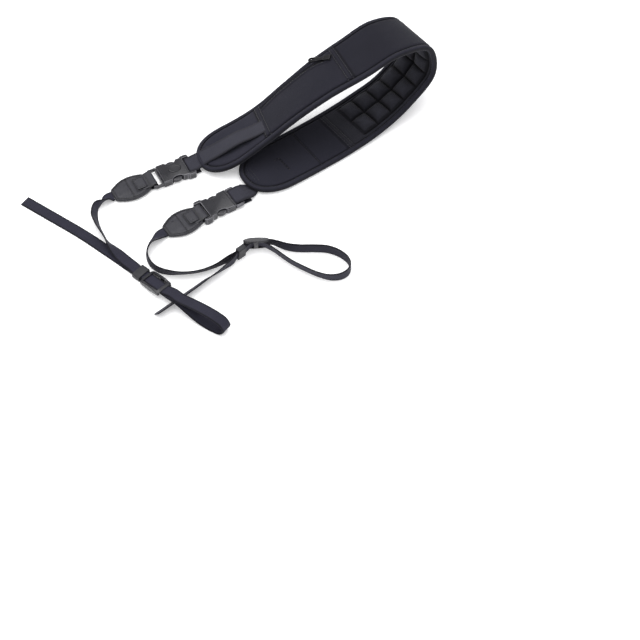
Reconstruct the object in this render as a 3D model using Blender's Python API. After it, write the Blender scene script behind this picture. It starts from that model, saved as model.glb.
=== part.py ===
# Camera neck strap: a padded band curled over on itself, two side release buckles,
# two leather tabs, and two thin straps with a slider, a keeper and a lug loop each.
# Tables are in millimetres, +Z up. The origin is on the floor under the object's middle.

import math

import bmesh
import bpy
import numpy as np
from mathutils import Vector

for old in list(bpy.data.objects):
    bpy.data.objects.remove(old, do_unlink=True)

mm = 0.001
gap = 0.3
middle = (53.34, 160.31, -0.08)

pad_width = 62.0
pad_length = 532.6
lobe_length = 43.0
lobe_power = 2.3
border = 7.5
edge_half = 2.5
face_half = 3.0
pocket_rise = 0.8
pocket_start = 75.0
pocket_end = 178.0
cell_pitch = 19.17
cell_rows = 14
cell_rise = 1.7
cells_start = 132.1
zip_line = ((166.0, -15.0), (149.0, -29.0))

wide_webbing = 20.0
wide_thick = 1.5
thin_webbing = 12.0
thin_thick = 1.1
strand = 0.75

ring_length = 10.2
ring_bar = 2.6
ring_slot = 8.9
buckle_length = 46.0
buckle_half = 12.3
ear_half = 14.0
arm_half = 2.0
shell_half = 3.9
bar_from = 42.0
bar_half = 1.6

# arc, x, y, z, turn, tilt: the pad's middle line from tip A to tip B. The ruling
# across the pad points to its near edge: turn is its plan angle, tilt its rise.
pad_route = [
    (0.0, 16.8, 231.4, 4.6, -17.2, 1.8),
    (37.3, 50.9, 221.6, 15.9, -19.0, 9.0),
    (74.7, 83.6, 213.6, 32.2, -19.8, 13.7),
    (112.3, 115.2, 207.5, 51.6, -17.6, 13.2),
    (149.9, 148.2, 201.6, 68.7, -13.8, 9.6),
    (187.6, 183.0, 195.2, 81.6, -9.5, 5.9),
    (225.6, 219.5, 191.6, 90.6, -5.4, 5.8),
    (263.7, 254.2, 189.4, 77.5, -2.3, 8.0),
    (300.8, 258.8, 186.1, 42.0, -2.7, 8.6),
    (340.4, 229.3, 184.4, 16.8, -3.0, 9.0),
    (379.8, 191.4, 182.6, 6.6, -0.4, 3.0),
    (417.6, 153.8, 180.8, 3.8, 0.1, 0.5),
    (455.4, 116.0, 180.2, 3.6, -0.8, 0.0),
    (493.6, 77.5, 180.4, 4.3, -1.9, 0.0),
    (532.6, 38.3, 181.6, 5.3, -2.4, 0.0),
]

# name, x, y, z, heading, pitch, roll: where each fitting stands. Its own x axis points
# along the heading, raised by the pitch; the roll turns it about that axis.
places = {
    "buckle_a": (-37.4, 238.9, 4.3, -10.0, 0.0, 0.0),
    "buckle_b": (23.8, 170.1, 4.3, 176.0, 0.0, 0.0),
    "tab_a": (-37.4, 238.9, 4.3, 171.5, -2.5, 0.0),
    "tab_b": (-22.1, 173.3, 4.3, 177.0, -2.5, 0.0),
    "slider_a": (-105.0, 125.8, 5.4, -81.4, 9.0, 0.0),
    "keeper_a": (-108.8, 146.2, 3.1, -77.0, 0.0, 0.0),
    "slider_b": (0.6, 107.2, 8.9, -31.6, 0.0, -74.0),
    "keeper_b": (-17.5, 107.4, 8.1, 6.0, 0.0, 98.0),
}


# Values of a table's columns between its rows, the first column being the station.
def spline(table, at):
    table = np.asarray(table, float)
    at = np.asarray(at, float)
    t, y = table[:, 0], table[:, 1:]
    step = np.diff(t)[:, None]
    grade = np.diff(y, axis=0) / step
    slope = np.empty_like(y)
    slope[1:-1] = grade[:-1] * step[1:] + grade[1:] * step[:-1]
    slope[1:-1] /= step[:-1] + step[1:]
    slope[0] = 1.5 * grade[0] - 0.5 * slope[1]
    slope[-1] = 1.5 * grade[-1] - 0.5 * slope[-2]
    i = np.clip(np.searchsorted(t, at, side="right") - 1, 0, len(t) - 2)
    h = (t[i + 1] - t[i])[:, None]
    u = (at - t[i])[:, None] / h
    a = 2 * u**3 - 3 * u**2 + 1
    b = (u**3 - 2 * u**2 + u) * h
    c = (u**3 - u**2) * h
    return a * y[i] + b * slope[i] + (1 - a) * y[i + 1] + c * slope[i + 1]


def unit(v):
    return v / np.linalg.norm(v, axis=-1, keepdims=True)


def material(name, colour, rough, metal=0.0):
    mat = bpy.data.materials.new(name)
    mat.use_nodes = True
    shader = mat.node_tree.nodes["Principled BSDF"]
    shader.inputs["Base Color"].default_value = (*colour, 1.0)
    shader.inputs["Roughness"].default_value = rough
    shader.inputs["Metallic"].default_value = metal
    return mat


looks = {
    "nylon": ((0.014, 0.015, 0.019), 0.8),
    "webbing": ((0.011, 0.011, 0.013), 0.7),
    "leather": ((0.022, 0.022, 0.026), 0.45),
    "plastic": ((0.016, 0.016, 0.018), 0.4),
}


def solid(name, verts, faces, look):
    mesh = bpy.data.meshes.new(name)
    moved = [((x - middle[0]) * mm, (y - middle[1]) * mm, (z - middle[2]) * mm) for x, y, z in verts]
    mesh.from_pydata(moved, [], faces)
    bm = bmesh.new()
    bm.from_mesh(mesh)
    bmesh.ops.recalc_face_normals(bm, faces=bm.faces)
    bm.to_mesh(mesh)
    bm.free()
    mesh.shade_smooth()
    mesh.set_sharp_from_angle(angle=math.radians(35))
    made = bpy.data.objects.new(name, mesh)
    bpy.context.collection.objects.link(made)
    made.data.materials.append(material(name, *looks[look]))
    return made


# A closed skin round rings of points that all have the same count.
def loft(rings):
    count = len(rings[0])
    verts = [tuple(p) for ring in rings for p in ring]
    faces = []
    for k in range(len(rings) - 1):
        for j in range(count):
            a = k * count + j
            b = k * count + (j + 1) % count
            faces.append((a, b, b + count, a + count))
    faces.append(tuple(range(count))[::-1])
    faces.append(tuple(range(len(verts) - count, len(verts))))
    return verts, faces


# The pad's middle line, its heading, the ruling to the near edge and the way to its
# cushioned face, at each arc length.
def pad_frame(arc):
    arc = np.atleast_1d(np.asarray(arc, float))
    x, y, z, turn, tilt = spline(pad_route, arc).T
    spot = np.stack([x, y, z], axis=1)
    ahead = spline(pad_route, arc + 0.5)[:, :3] - spline(pad_route, arc - 0.5)[:, :3]
    turn, tilt = np.radians(turn), np.radians(tilt)
    side = np.stack(
        [np.cos(tilt) * np.sin(turn), -np.cos(tilt) * np.cos(turn), np.sin(tilt)], axis=1
    )
    ahead = unit(ahead)
    side = unit(side - (side * ahead).sum(axis=1, keepdims=True) * ahead)
    return spot, ahead, side, np.cross(ahead, side)


def pad_half(arc):
    inset = min(arc, pad_length - arc)
    q = max(0.0, 1 - (inset + 1.2) / lobe_length)
    return pad_width / 2 * (1 - q**lobe_power) ** (1 / lobe_power)


def pocket(arc):
    return float(np.interp(arc, [pocket_start, pocket_start + 2, pocket_end - 2, pocket_end],
                           [0, 1, 1, 0]))


# How far a quilted cell stands up here: none on the seams, full inside a cell.
def quilt(arc, share):
    row = (arc - cells_start) / cell_pitch
    if not 0 < row < cell_rows:
        return 0.0
    along = np.interp(row % 1, [0, 0.2, 0.8, 1], [0, 1, 1, 0])
    across = np.interp(abs(share), [0, 0.12, 0.5, 0.88, 1], [0, 0.75, 1, 0.75, 0])
    return float(along * across)


def pad_ring(arc):
    spot, ahead, side, inward = (v[0] for v in pad_frame(arc))
    half = pad_half(arc)
    scale = min(1.0, half / 20)
    inner = half - (border + 2.5) * scale
    shares = (1, 0.88, 0.5, 0.12, 0)
    face = [(inner * s, s) for s in shares]
    face += [(-inner * s, s) for s in shares[-2::-1]]
    trim = [(half, 1.2), (half - 1.6 * scale, edge_half)]
    trim += [(half - (border - 1) * scale, edge_half), (half - border * scale, edge_half - 0.4)]
    ring = trim[:]
    ring += [(v, face_half + cell_rise * quilt(arc, s)) for v, s in face]
    ring += [(-v, h) for v, h in trim[::-1]]
    back = [(-v, -h) for v, h in trim]
    rise = face_half + pocket_rise * pocket(arc)
    back += [(-inner, -rise), (0.0, -rise - 0.2), (inner, -rise)]
    back += [(v, -h) for v, h in trim[::-1]]
    return [spot + side * v + inward * h for v, h in ring + back]


def make_pad():
    lobe = [lobe_length * (1 - math.cos(math.radians(a))) for a in range(0, 90, 11)]
    lobe += [lobe_length * 0.96]
    stops = set(round(a, 3) for a in lobe)
    stops |= {round(pad_length - a, 3) for a in lobe}
    stops |= {52.0, 64.0, pocket_start, pocket_start + 2, 90.0, 103.0, 117.0}
    stops |= {pocket_end - 2, pocket_end}
    for row in range(cell_rows):
        stops |= {round(cells_start + cell_pitch * (row + f), 3) for f in (0, 0.2, 0.8)}
    last = cells_start + cell_pitch * cell_rows
    stops |= {last, 412.0, 425.0, 438.0, 450.0, 462.0, 474.0}
    stops = sorted(stops)
    kept = [stops[0]]
    for stop in stops[1:]:
        if stop - kept[-1] > 0.9:
            kept.append(stop)
    solid("pad", *loft([pad_ring(arc) for arc in kept]), "nylon")


# A flat strip: its middle line and the way across it at each row, with a few more
# stations between rows.
def ribbon(name, rows, width, thick, look, between=2):
    rows = np.asarray(rows, float)
    span = np.linalg.norm(np.diff(rows[:, :3], axis=0), axis=1)
    along = np.concatenate([[0], np.cumsum(span)])
    table = np.column_stack([along, rows])
    at = [along[0]]
    for a, b in zip(along[:-1], along[1:]):
        at += [a + (b - a) * (k + 1) / between for k in range(between)]
    at = np.array(at)
    line = spline(table, at)
    ahead = unit(np.gradient(line[:, :3], at, axis=0))
    side = line[:, 3:]
    side = unit(side - (side * ahead).sum(axis=1, keepdims=True) * ahead)
    up = np.cross(ahead, side)
    rings = []
    for p, s, n in zip(line[:, :3], side, up):
        a, b = s * width / 2, n * thick / 2
        rings.append([p - a - b, p + a - b, p + a + b, p - a + b])
    return solid(name, *loft(rings), look)


# x, y, z, across, rise -> a row for ribbon: across is the plan angle of the way
# across the strip and rise lifts it, 90 being on edge.
def rows_of(table):
    made = []
    for x, y, z, across, rise in table:
        a, r = math.radians(across), math.radians(rise)
        made.append((x, y, z, math.cos(r) * math.cos(a), math.cos(r) * math.sin(a), math.sin(r)))
    return made


def axes(place):
    if place == "zip_pull":
        return zip_axes()
    x, y, z, heading, pitch, roll = places[place]
    h, p, r = math.radians(heading), math.radians(pitch), math.radians(roll)
    along = np.array([math.cos(h) * math.cos(p), math.sin(h) * math.cos(p), math.sin(p)])
    level = np.array([-math.sin(h), math.cos(h), 0.0])
    rise = np.cross(along, level)
    side = level * math.cos(r) + rise * math.sin(r)
    return np.array([x, y, z]), along, side, np.cross(along, side)


# The zip's slider stands on the pocket; its pull lies across the far edge.
def zip_axes():
    ends = []
    for arc, shift in zip_line:
        spot, ahead, side, inward = (v[0] for v in pad_frame(arc))
        ends.append(spot + side * shift - inward * (face_half + pocket_rise + 0.2))
    along = unit(ends[1] - ends[0])
    up = unit(-inward - np.dot(-inward, along) * along)
    return ends[0], along, np.cross(up, along), up


def at(place, u, v, w):
    spot, along, side, up = axes(place)
    return tuple(spot + along * u + side * v + up * w)


def through(place, us, w, flip=1):
    side = axes(place)[2] * flip
    return [(*at(place, u, 0, w), *side) for u in us]


# A slab in a fitting's own axes: a plan outline between two heights, its rims eased.
def slab(name, place, outline, low, high, ease=0.0, look="plastic"):
    outline = np.array(outline, float)
    before = np.roll(outline, 1, axis=0)
    after = np.roll(outline, -1, axis=0)
    a, b = unit(outline - before), unit(after - outline)
    inward = np.stack([-a[:, 1] - b[:, 1], a[:, 0] + b[:, 0]], axis=1)
    inward /= 1 + (a * b).sum(axis=1, keepdims=True)
    layers = [(low, ease), (low + ease, 0), (high - ease, 0), (high, ease)]
    if not ease:
        layers = [(low, 0), (high, 0)]
    rings = []
    for w, inset in layers:
        rings.append([at(place, u, v, w) for u, v in outline + inward * inset])
    return solid(name, *loft(rings), look)


def box(name, place, us, vs, ws, ease=0.0, look="plastic"):
    outline = [(us[0], vs[0]), (us[1], vs[0]), (us[1], vs[1]), (us[0], vs[1])]
    return slab(name, place, outline, ws[0], ws[1], ease, look)


# A profile in the fitting's upright plane, drawn across it from side to side.
def beam(name, place, profile, half, look="leather"):
    rings = [[at(place, u, v, w) for u, w in profile] for v in (-half, half)]
    return solid(name, *loft(rings), look)


def combine(body, others, operation):
    for k, other in enumerate(others):
        change = body.modifiers.new(f"{operation}{k}", "BOOLEAN")
        change.operation = operation
        change.solver = "EXACT"
        change.object = other
        other.hide_render = True
        other.display_type = "WIRE"


def mirrored(half_outline):
    return [(u, -v) for u, v in half_outline] + [(u, v) for u, v in half_outline[::-1]]


def make_buckle(name):
    base = ring_length
    male = [(0, 10.4), (2, buckle_half), (base, buckle_half), (base, 10.6), (20.4, 10.6),
            (21.6, 11.6), (23.8, 12.6), (26.8, 12.8), (29.2, 11.9), (31.0, 10.2), (33.0, 9.4),
            (34.0, 8.2), (34.0, 7.2), (base, 7.2), (base, 2.6), (25, 2.2)]
    body = slab(f"{name}_male", name, mirrored(male), -arm_half, arm_half, 0.4)
    slot = box(f"{name}_male_slot", name, (ring_bar, ring_slot), (-10.4, 10.4), (-5, 5))
    combine(body, [slot], "DIFFERENCE")
    mouth = base + gap
    shell = [(mouth, 12.0), (mouth + 0.6, buckle_half), (36.4, buckle_half), (38, ear_half),
             (44.6, ear_half), (buckle_length, ear_half - 1.6)]
    body = slab(f"{name}_female", name, mirrored(shell), -shell_half, shell_half, 0.7)
    cuts = [box(f"{name}_cavity", name, (mouth - 2, 35.4), (-11, 11), (-2.3, 2.3))]
    for side in (-1, 1):
        notch = [(19.1, 15), (19.8, 11.7), (20.9, 10.4), (22.6, 9.3), (25.0, 8.7), (27.7, 8.7),
                 (30.1, 9.5), (31.4, 10.8), (31.9, 11.8), (32.3, 15)]
        notch = [(u, v * side) for u, v in notch]
        cuts.append(slab(f"{name}_window{side}", name, notch[::side], -6, 6))
        tall = (bar_half, 6) if side > 0 else (-6, -bar_half)
        cuts.append(box(f"{name}_rest{side}", name, (bar_from - 0.2, 50), (-10.4, 10.4), tall))
    cuts.append(box(f"{name}_throat", name, (bar_from - 3, bar_from), (-10.4, 10.4), (-6, 6)))
    combine(body, cuts, "DIFFERENCE")


# A strip's middle line round a bar, in the buckle's own axes: on top, down through
# the slot, and back underneath.
def round_bar(place, near, far, half, leave, back):
    lift = half + gap + wide_thick / 2
    turn = near + (gap + wide_thick / 2) * (1 if near > far else -1)
    sign = 1 if near > far else -1
    spots = [(leave, lift), (near - 2.2 * sign, lift), (near - 0.6 * sign, lift)]
    spots += [(turn - 0.35 * sign, lift * 0.82), (turn, lift * 0.38), (turn, -lift * 0.38)]
    spots += [(turn - 0.35 * sign, -lift * 0.82), (near - 0.6 * sign, -lift)]
    spots += [(near - 2.2 * sign, -lift), (back, -lift)]
    side = axes(place)[2]
    return [(*at(place, u, 0, w), *side) for u, w in spots]


def pad_rows(arcs_shifts_heights, flip):
    made = []
    for arc, shift, height in arcs_shifts_heights:
        spot, ahead, side, inward = (v[0] for v in pad_frame(arc))
        made.append((*(spot + side * shift - inward * height), *(side * flip)))
    return made


def make_tab(name, near, far, half, start):
    outline = [(0.9, 9.4), (1.6, 10.6), (6, 12.6), (12, 14.2), (18, 14.8), (24, 14.2),
               (30, 12.2), (35, 9.4), (38.2, 7.6), (38.8, 6.6)]
    outline = [(u + start, v) for u, v in outline]
    body = slab(name, name, mirrored(outline), -1.9, 1.9, 0.6, "leather")
    hole = half + gap + 0.1
    skin = hole + 1.5
    loose = gap + 0.3
    ends = (near - loose - 1.5, near - loose, far + loose)
    loop = [(3, skin), (ends[0] + 1.2, skin), (ends[0], skin - 1.2), (ends[0], -skin + 1.2),
            (ends[0] + 1.2, -skin), (3, -skin), (7, -1.7), (14, -1.2), (14, 1.2), (7, 1.7)]
    wrap = beam(f"{name}_wrap", name, loop[::-1], 9.6)
    patch = box(f"{name}_patch", name, (3.6, 14), (-7.4, 7.4), (0, 2.7), 0.4, "leather")
    combine(body, [wrap, patch], "UNION")
    inside = [(ends[1], hole), (ends[2], hole), (ends[2], -hole), (ends[1], -hole)]
    hollow = beam(f"{name}_hole", name, inside, 16)
    combine(body, [hollow], "DIFFERENCE")


def make_slider(name):
    rim = [(12.5, 7.2), (11.3, 8.4), (-11.3, 8.4), (-12.5, 7.2)]
    outline = [(u, -v) for u, v in rim[::-1]] + rim
    body = slab(name, name, outline, -3.1, 3.4, 0.6)
    cuts = [box(f"{name}_path", name, (-20, 20), (-6.6, 6.6), (-2, 2))]
    cuts.append(box(f"{name}_window", name, (-9.2, 9.2), (-6.2, 6.2), (-0.6, 8)))
    cuts.append(box(f"{name}_low1", name, (2, 21), (-6.7, 6.7), (-8, 0.4)))
    cuts.append(box(f"{name}_low2", name, (-21, -2), (-6.7, 6.7), (-8, 0.4)))
    combine(body, cuts, "DIFFERENCE")


def make_keeper(name):
    outer = [(-7.8, -2), (-7, -2.9), (7, -2.9), (7.8, -2), (7.8, 2), (7, 2.9), (-7, 2.9),
             (-7.8, 2)]
    inner = [(-6.4, -1.6), (-6.3, -1.65), (6.3, -1.65), (6.4, -1.6), (6.4, 1.6), (6.3, 1.65),
             (-6.3, 1.65), (-6.4, 1.6)]
    count = len(outer)
    verts = []
    for u, loop in ((-4.5, outer), (4.5, outer), (4.5, inner), (-4.5, inner)):
        verts += [at(name, u, v, w) for v, w in loop]
    faces = []
    for k in range(4):
        for j in range(count):
            a, b = k * count, (k + 1) % 4 * count
            n = (j + 1) % count
            faces.append((a + j, a + n, b + n, b + j))
    solid(name, verts, faces, "leather")


def make_zip_pull(name):
    tab = [(-1, 2.0), (5, 1.5), (9, 1.9), (12, 2.6), (20, 2.6), (22, 1.4)]
    body = slab(name, name, mirrored(tab), 0.7, 2.0, 0.3)
    runner = box(f"{name}_runner", name, (-4, 4), (-2.9, 2.9), (0.5, 3.2), 0.4)
    combine(body, [runner], "UNION")
    hole = box(f"{name}_hole", name, (15.5, 19.5), (-1.2, 1.2), (-1, 4))
    combine(body, [hole], "DIFFERENCE")


make_pad()
make_zip_pull("zip_pull")
make_buckle("buckle_a")
make_buckle("buckle_b")
make_tab("tab_a", -ring_bar, 0.0, arm_half, 2.0)
make_tab("tab_b", bar_from - buckle_length, 0.0, bar_half, 0.0)
make_slider("slider_a")
make_slider("slider_b")
make_keeper("keeper_a")
make_keeper("keeper_b")

# arc, shift to the near edge, height over the pad's middle surface: the wide webbing
# lies on lobe A and bows up as a handle as far as the pocket's seam.
handle = [(73.0, 8.6, 4.6), (66.0, 8.2, 5.0), (58.0, 7.2, 6.2), (48.0, 5.4, 7.6),
          (38.0, 4.4, 7.8), (28.0, 3.4, 6.8), (18.0, 2.2, 5.3), (9.0, 1.2, 4.7), (2.0, 0.4, 4.6)]
rows = pad_rows(handle, -1)
rows += round_bar("buckle_a", bar_from, buckle_length, bar_half, 47.0, 52.0)
ribbon("webbing_a", rows, wide_webbing, wide_thick, "webbing", 2)

# The wide webbing of side B is sewn under lobe B and rises to its buckle's bar.
rows = rows_of([
    (54.0, 168.0, 0.86, 266, 0),
    (47.0, 168.5, 0.86, 266, 0),
    (41.0, 168.9, 0.9, 266, 0),
    (37.0, 169.2, 1.8, 266, 0),
    (33.4, 169.4, 4.2, 266, 0),
    (30.2, 169.6, 6.4, 266, 0),
])
rows += round_bar("buckle_b", ring_bar + 2.0, 0.0, arm_half, -3.5, -9.0)
ribbon("webbing_b", rows, wide_webbing, wide_thick, "webbing", 2)

tip = 40.8 + gap
side = axes("tab_a")[2]
rows = [(*at("tab_a", tip, 0, 0), *side), (*at("tab_a", tip + 3, 0, 0.2), *side)]
rows += rows_of([
    (-90.0, 242.4, 5.7, 276, 58),
    (-99.8, 241.0, 6.6, 122, 76),
    (-107.4, 232.8, 6.3, 150, 60),
    (-111.4, 221.8, 6.4, 168, 64),
    (-113.6, 209.6, 6.6, 176, 69),
    (-114.8, 199.0, 6.2, 182, 70),
    (-114.6, 189.0, 4.4, 188, 38),
    (-113.4, 179.0, 2.6, 192, 10),
    (-112.0, 168.0, 2.4, 193, 0),
    (-110.2, 156.6, 3.0, 193, 0),
])
rows += through("keeper_a", (-5.5, 0, 5.5), strand, -1)
rows += through("slider_a", (-13.5, -6, 0, 6, 13.5), strand, -1)
rows += rows_of([
    (-100.2, 103.0, 11.0, 192, 0),
    (-98.6, 92.0, 13.2, 195, 0),
    (-94.4, 77.6, 16.4, 197, 0),
    (-90.0, 63.0, 19.0, 198, 0),
    (-85.4, 50.6, 18.2, 198, 0),
    (-81.8, 43.0, 14.0, 198, 0),
    (-81.0, 39.4, 7.4, 198, 0),
    (-82.8, 42.6, 2.6, 198, 0),
    (-86.6, 51.0, 1.0, 198, 0),
    (-91.6, 64.0, 2.2, 196, 0),
    (-96.6, 79.0, 7.4, 193, 0),
    (-100.0, 92.0, 10.8, 191, 0),
    (-102.2, 103.0, 9.4, 190, 0),
])
rows += through("slider_a", (13.5, 6, 0, -6, -13.5), -strand, -1)
rows += through("keeper_a", (5.5, 0, -5.5), -strand, -1)
rows += rows_of([
    (-111.2, 157.0, 1.4, 193, 0),
    (-114.4, 171.0, 0.65, 194, 0),
    (-119.6, 191.0, 0.6, 195, 0),
    (-127.8, 221.2, 0.6, 197, 0),
    (-139.8, 257.0, 0.6, 198, 0),
    (-152.2, 293.1, 0.6, 199, 0),
])
ribbon("strap_a", rows, thin_webbing, thin_thick, "webbing", 2)

tip = 38.8 + gap
side = axes("tab_b")[2]
rows = [(*at("tab_b", tip, 0, 0), *side), (*at("tab_b", tip + 3, 0, 0.2), *side)]
rows += rows_of([
    (-73.0, 172.6, 4.6, -85, 30),
    (-82.0, 169.8, 6.2, -70, 60),
    (-91.4, 161.6, 6.8, -40, 82),
    (-95.8, 149.9, 6.6, -5, 90),
    (-94.3, 138.7, 6.5, 20, 97),
    (-88.1, 129.6, 6.3, 40, 104),
    (-78.3, 121.4, 6.0, 52, 115),
    (-63.1, 113.2, 5.9, 62, 117),
    (-46.5, 109.2, 6.2, 78, 110),
    (-31.0, 108.2, 7.2, 90, 96),
])
rows += through("keeper_b", (-5.5, 0, 5.5), -strand)
rows += through("slider_b", (-3, 0, 3, 8, 13.5), strand, -1)
rows += rows_of([
    (15.4, 98.6, 8.0, 50, 102),
    (18.6, 94.4, 7.2, 45, 96),
    (22.6, 88.6, 6.6, 45, 92),
    (27.4, 83.2, 6.3, 50, 90),
    (33.0, 78.2, 6.3, 50, 90),
    (44.3, 70.0, 6.3, 50, 90),
    (54.4, 60.9, 6.5, 50, 90),
    (60.6, 49.4, 6.5, 50, 90),
    (62.1, 38.7, 6.5, 30, 90),
    (59.6, 31.4, 6.5, 10, 90),
    (53.0, 26.8, 6.5, 205, 88),
    (45.0, 26.8, 6.5, 205, 84),
    (37.0, 30.8, 6.4, 205, 80),
    (28.6, 41.2, 6.3, 205, 76),
    (22.7, 53.3, 6.3, 204, 76),
    (17.2, 66.7, 6.3, 199, 76),
    (14.6, 75.5, 6.4, 194, 77),
    (12.7, 83.5, 6.6, 194, 77),
    (11.0, 90.2, 7.0, 200, 76),
])
side = axes("slider_b")[2]
rows += [(*at("slider_b", u, 0, w), *-side) for u, w in ((13.4, -5.4), (8.4, -2.3), (4.6, -1.0))]
rows += through("slider_b", (0, -3), -strand, -1)
rows += through("keeper_b", (5.5, 0, -5.5), strand)
rows += rows_of([
    (-27.0, 104.4, 7.0, 276, 84),
    (-39.2, 102.4, 6.3, 276, 74),
    (-50.9, 101.2, 5.9, 276, 62),
    (-62.6, 101.0, 5.2, 276, 52),
    (-75.0, 99.6, 4.95, 276, 49),
    (-88.0, 98.2, 4.9, 276, 48),
    (-105.4, 96.4, 4.9, 276, 48),
    (-124.4, 94.6, 4.9, 276, 48),
])
ribbon("strap_b", rows, thin_webbing, thin_thick, "webbing", 2)
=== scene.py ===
# Camera neck strap: cloth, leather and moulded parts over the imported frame.
# Tables are in millimetres; everything is turned into metres as it becomes a mesh.
import math

import bmesh
import bpy
import numpy as np
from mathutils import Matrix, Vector


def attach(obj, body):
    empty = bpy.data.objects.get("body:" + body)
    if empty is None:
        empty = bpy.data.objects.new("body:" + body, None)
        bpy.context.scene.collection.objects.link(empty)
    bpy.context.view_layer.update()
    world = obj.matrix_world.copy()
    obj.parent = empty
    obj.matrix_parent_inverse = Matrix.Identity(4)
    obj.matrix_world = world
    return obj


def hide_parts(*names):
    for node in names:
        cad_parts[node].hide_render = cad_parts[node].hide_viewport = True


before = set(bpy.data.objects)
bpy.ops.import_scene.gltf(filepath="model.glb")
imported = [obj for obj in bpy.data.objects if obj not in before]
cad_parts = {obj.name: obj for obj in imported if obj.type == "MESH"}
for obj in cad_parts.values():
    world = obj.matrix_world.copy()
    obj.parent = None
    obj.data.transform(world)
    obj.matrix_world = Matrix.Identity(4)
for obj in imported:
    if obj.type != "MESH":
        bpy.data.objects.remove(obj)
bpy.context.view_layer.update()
print("frame loaded:", len(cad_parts), "solids")

mm = 0.001
middle = np.array([53.34, 160.31, -0.08])  # the point of the tables that is the origin
gap = 0.3  # left between pieces that touch

# The padded band's middle line from tip A to tip B.
# arc, x, y, z, turn of the way to the near edge, its tilt
padRoute = [
    (0.0, 16.8, 231.4, 4.6, -17.2, 1.8),
    (37.3, 50.9, 221.6, 15.9, -19.0, 9.0),
    (74.7, 83.6, 213.6, 32.2, -19.8, 13.7),
    (112.3, 115.2, 207.5, 51.6, -17.6, 13.2),
    (149.9, 148.2, 201.6, 68.7, -13.8, 9.6),
    (187.6, 183.0, 195.2, 81.6, -9.5, 5.9),
    (225.6, 219.5, 191.6, 90.6, -5.4, 5.8),
    (263.7, 254.2, 189.4, 77.5, -2.3, 8.0),
    (300.8, 258.8, 186.1, 42.0, -2.7, 8.6),
    (340.4, 229.3, 184.4, 16.8, -3.0, 9.0),
    (379.8, 191.4, 182.6, 6.6, -0.4, 3.0),
    (417.6, 153.8, 180.8, 3.8, 0.1, 0.5),
    (455.4, 116.0, 180.2, 3.6, -0.8, 0.0),
    (493.6, 77.5, 180.4, 4.3, -1.9, 0.0),
    (532.6, 38.3, 181.6, 5.3, -2.4, 0.0),
]

# Where each fitting stands: x, y, z, heading, pitch, roll
places = {
    "buckleA": (-37.4, 238.9, 4.3, -10.0, 0.0, 0.0),
    "buckleB": (23.8, 170.1, 4.3, 176.0, 0.0, 0.0),
    "tabA": (-37.4, 238.9, 4.3, 171.5, -2.5, 0.0),
    "tabB": (-22.1, 173.3, 4.3, 177.0, -2.5, 0.0),
    "sliderA": (-105.0, 125.8, 5.4, -81.4, 9.0, 0.0),
    "keeperA": (-108.8, 146.2, 3.1, -77.0, 0.0, 0.0),
    "sliderB": (0.6, 107.2, 8.9, -31.6, 0.0, -74.0),
    "keeperB": (-17.5, 107.4, 8.1, 6.0, 0.0, 98.0),
}


def unit(v):
    return v / np.linalg.norm(v, axis=-1, keepdims=True)


# The part of side that is square to ahead.
def squared(side, ahead):
    return unit(side - (side * ahead).sum(axis=1, keepdims=True) * ahead)


# A table's columns at any station: smooth through every row.
def spline(table, at):
    table = np.asarray(table, float)
    at = np.asarray(at, float)
    t, y = table[:, 0], table[:, 1:]
    step = np.diff(t)[:, None]
    grade = np.diff(y, axis=0) / step
    slope = np.empty_like(y)
    slope[1:-1] = grade[:-1] * step[1:] + grade[1:] * step[:-1]
    slope[1:-1] /= step[:-1] + step[1:]
    slope[0] = 1.5 * grade[0] - 0.5 * slope[1]
    slope[-1] = 1.5 * grade[-1] - 0.5 * slope[-2]
    i = np.clip(np.searchsorted(t, at, side="right") - 1, 0, len(t) - 2)
    h = (t[i + 1] - t[i])[:, None]
    u = (at - t[i])[:, None] / h
    a = 2 * u**3 - 3 * u**2 + 1
    b = (u**3 - 2 * u**2 + u) * h
    c = (u**3 - u**2) * h
    return a * y[i] + b * slope[i] + (1 - a) * y[i + 1] + c * slope[i + 1]


def ease(x, low, high):
    t = np.clip((np.asarray(x, float) - low) / (high - low), 0, 1)
    return t * t * (3 - 2 * t)


# Rises over the first two of four ends and falls over the last two.
def between(x, *ends):
    return ease(x, *ends[:2]) * (1 - ease(x, *ends[2:]))


def groove(x, centre, width):
    return np.exp(-(((np.asarray(x, float) - centre) / width) ** 2))


def nearest(spots, line):
    return np.sqrt(((spots[:, None] - line[None]) ** 2).sum(axis=2)).min(axis=1)


# The other half of a section: the same spots on their way back, turned over.
def mirrored(spots):
    return [*spots, *((a, -b) for a, b in spots[::-1])]


def axes(place):
    x, y, z, heading, pitch, roll = places[place]
    h, p, r = math.radians(heading), math.radians(pitch), math.radians(roll)
    along = np.array([math.cos(h) * math.cos(p), math.sin(h) * math.cos(p), math.sin(p)])
    level = np.array([-math.sin(h), math.cos(h), 0.0])
    side = level * math.cos(r) + np.cross(along, level) * math.sin(r)
    return np.array([x, y, z]), along, side, np.cross(along, side)


# Points u along a fitting, v across it and w above it.
def at(place, u, v, w):
    spot, *ways = axes(place)
    return spot + sum(np.asarray(x, float)[..., None] * way for x, way in zip((u, v, w), ways))


def addObject(name, data):
    obj = bpy.data.objects.new(name, data)
    bpy.context.scene.collection.objects.link(obj)
    return obj


def finish(obj, materials, nodes=()):
    obj.data.materials.clear()
    for mat in materials:
        obj.data.materials.append(mat)
    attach(obj, "root")
    if nodes:
        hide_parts(*nodes)
    return obj


def pointValues(obj, name, values):
    values = np.asarray(values, np.float32)
    kind = "FLOAT_VECTOR" if values.ndim == 2 else "FLOAT"
    layer = obj.data.attributes.new(name, kind, "POINT")
    layer.data.foreach_set("vector" if values.ndim == 2 else "value", values.ravel())


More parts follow.
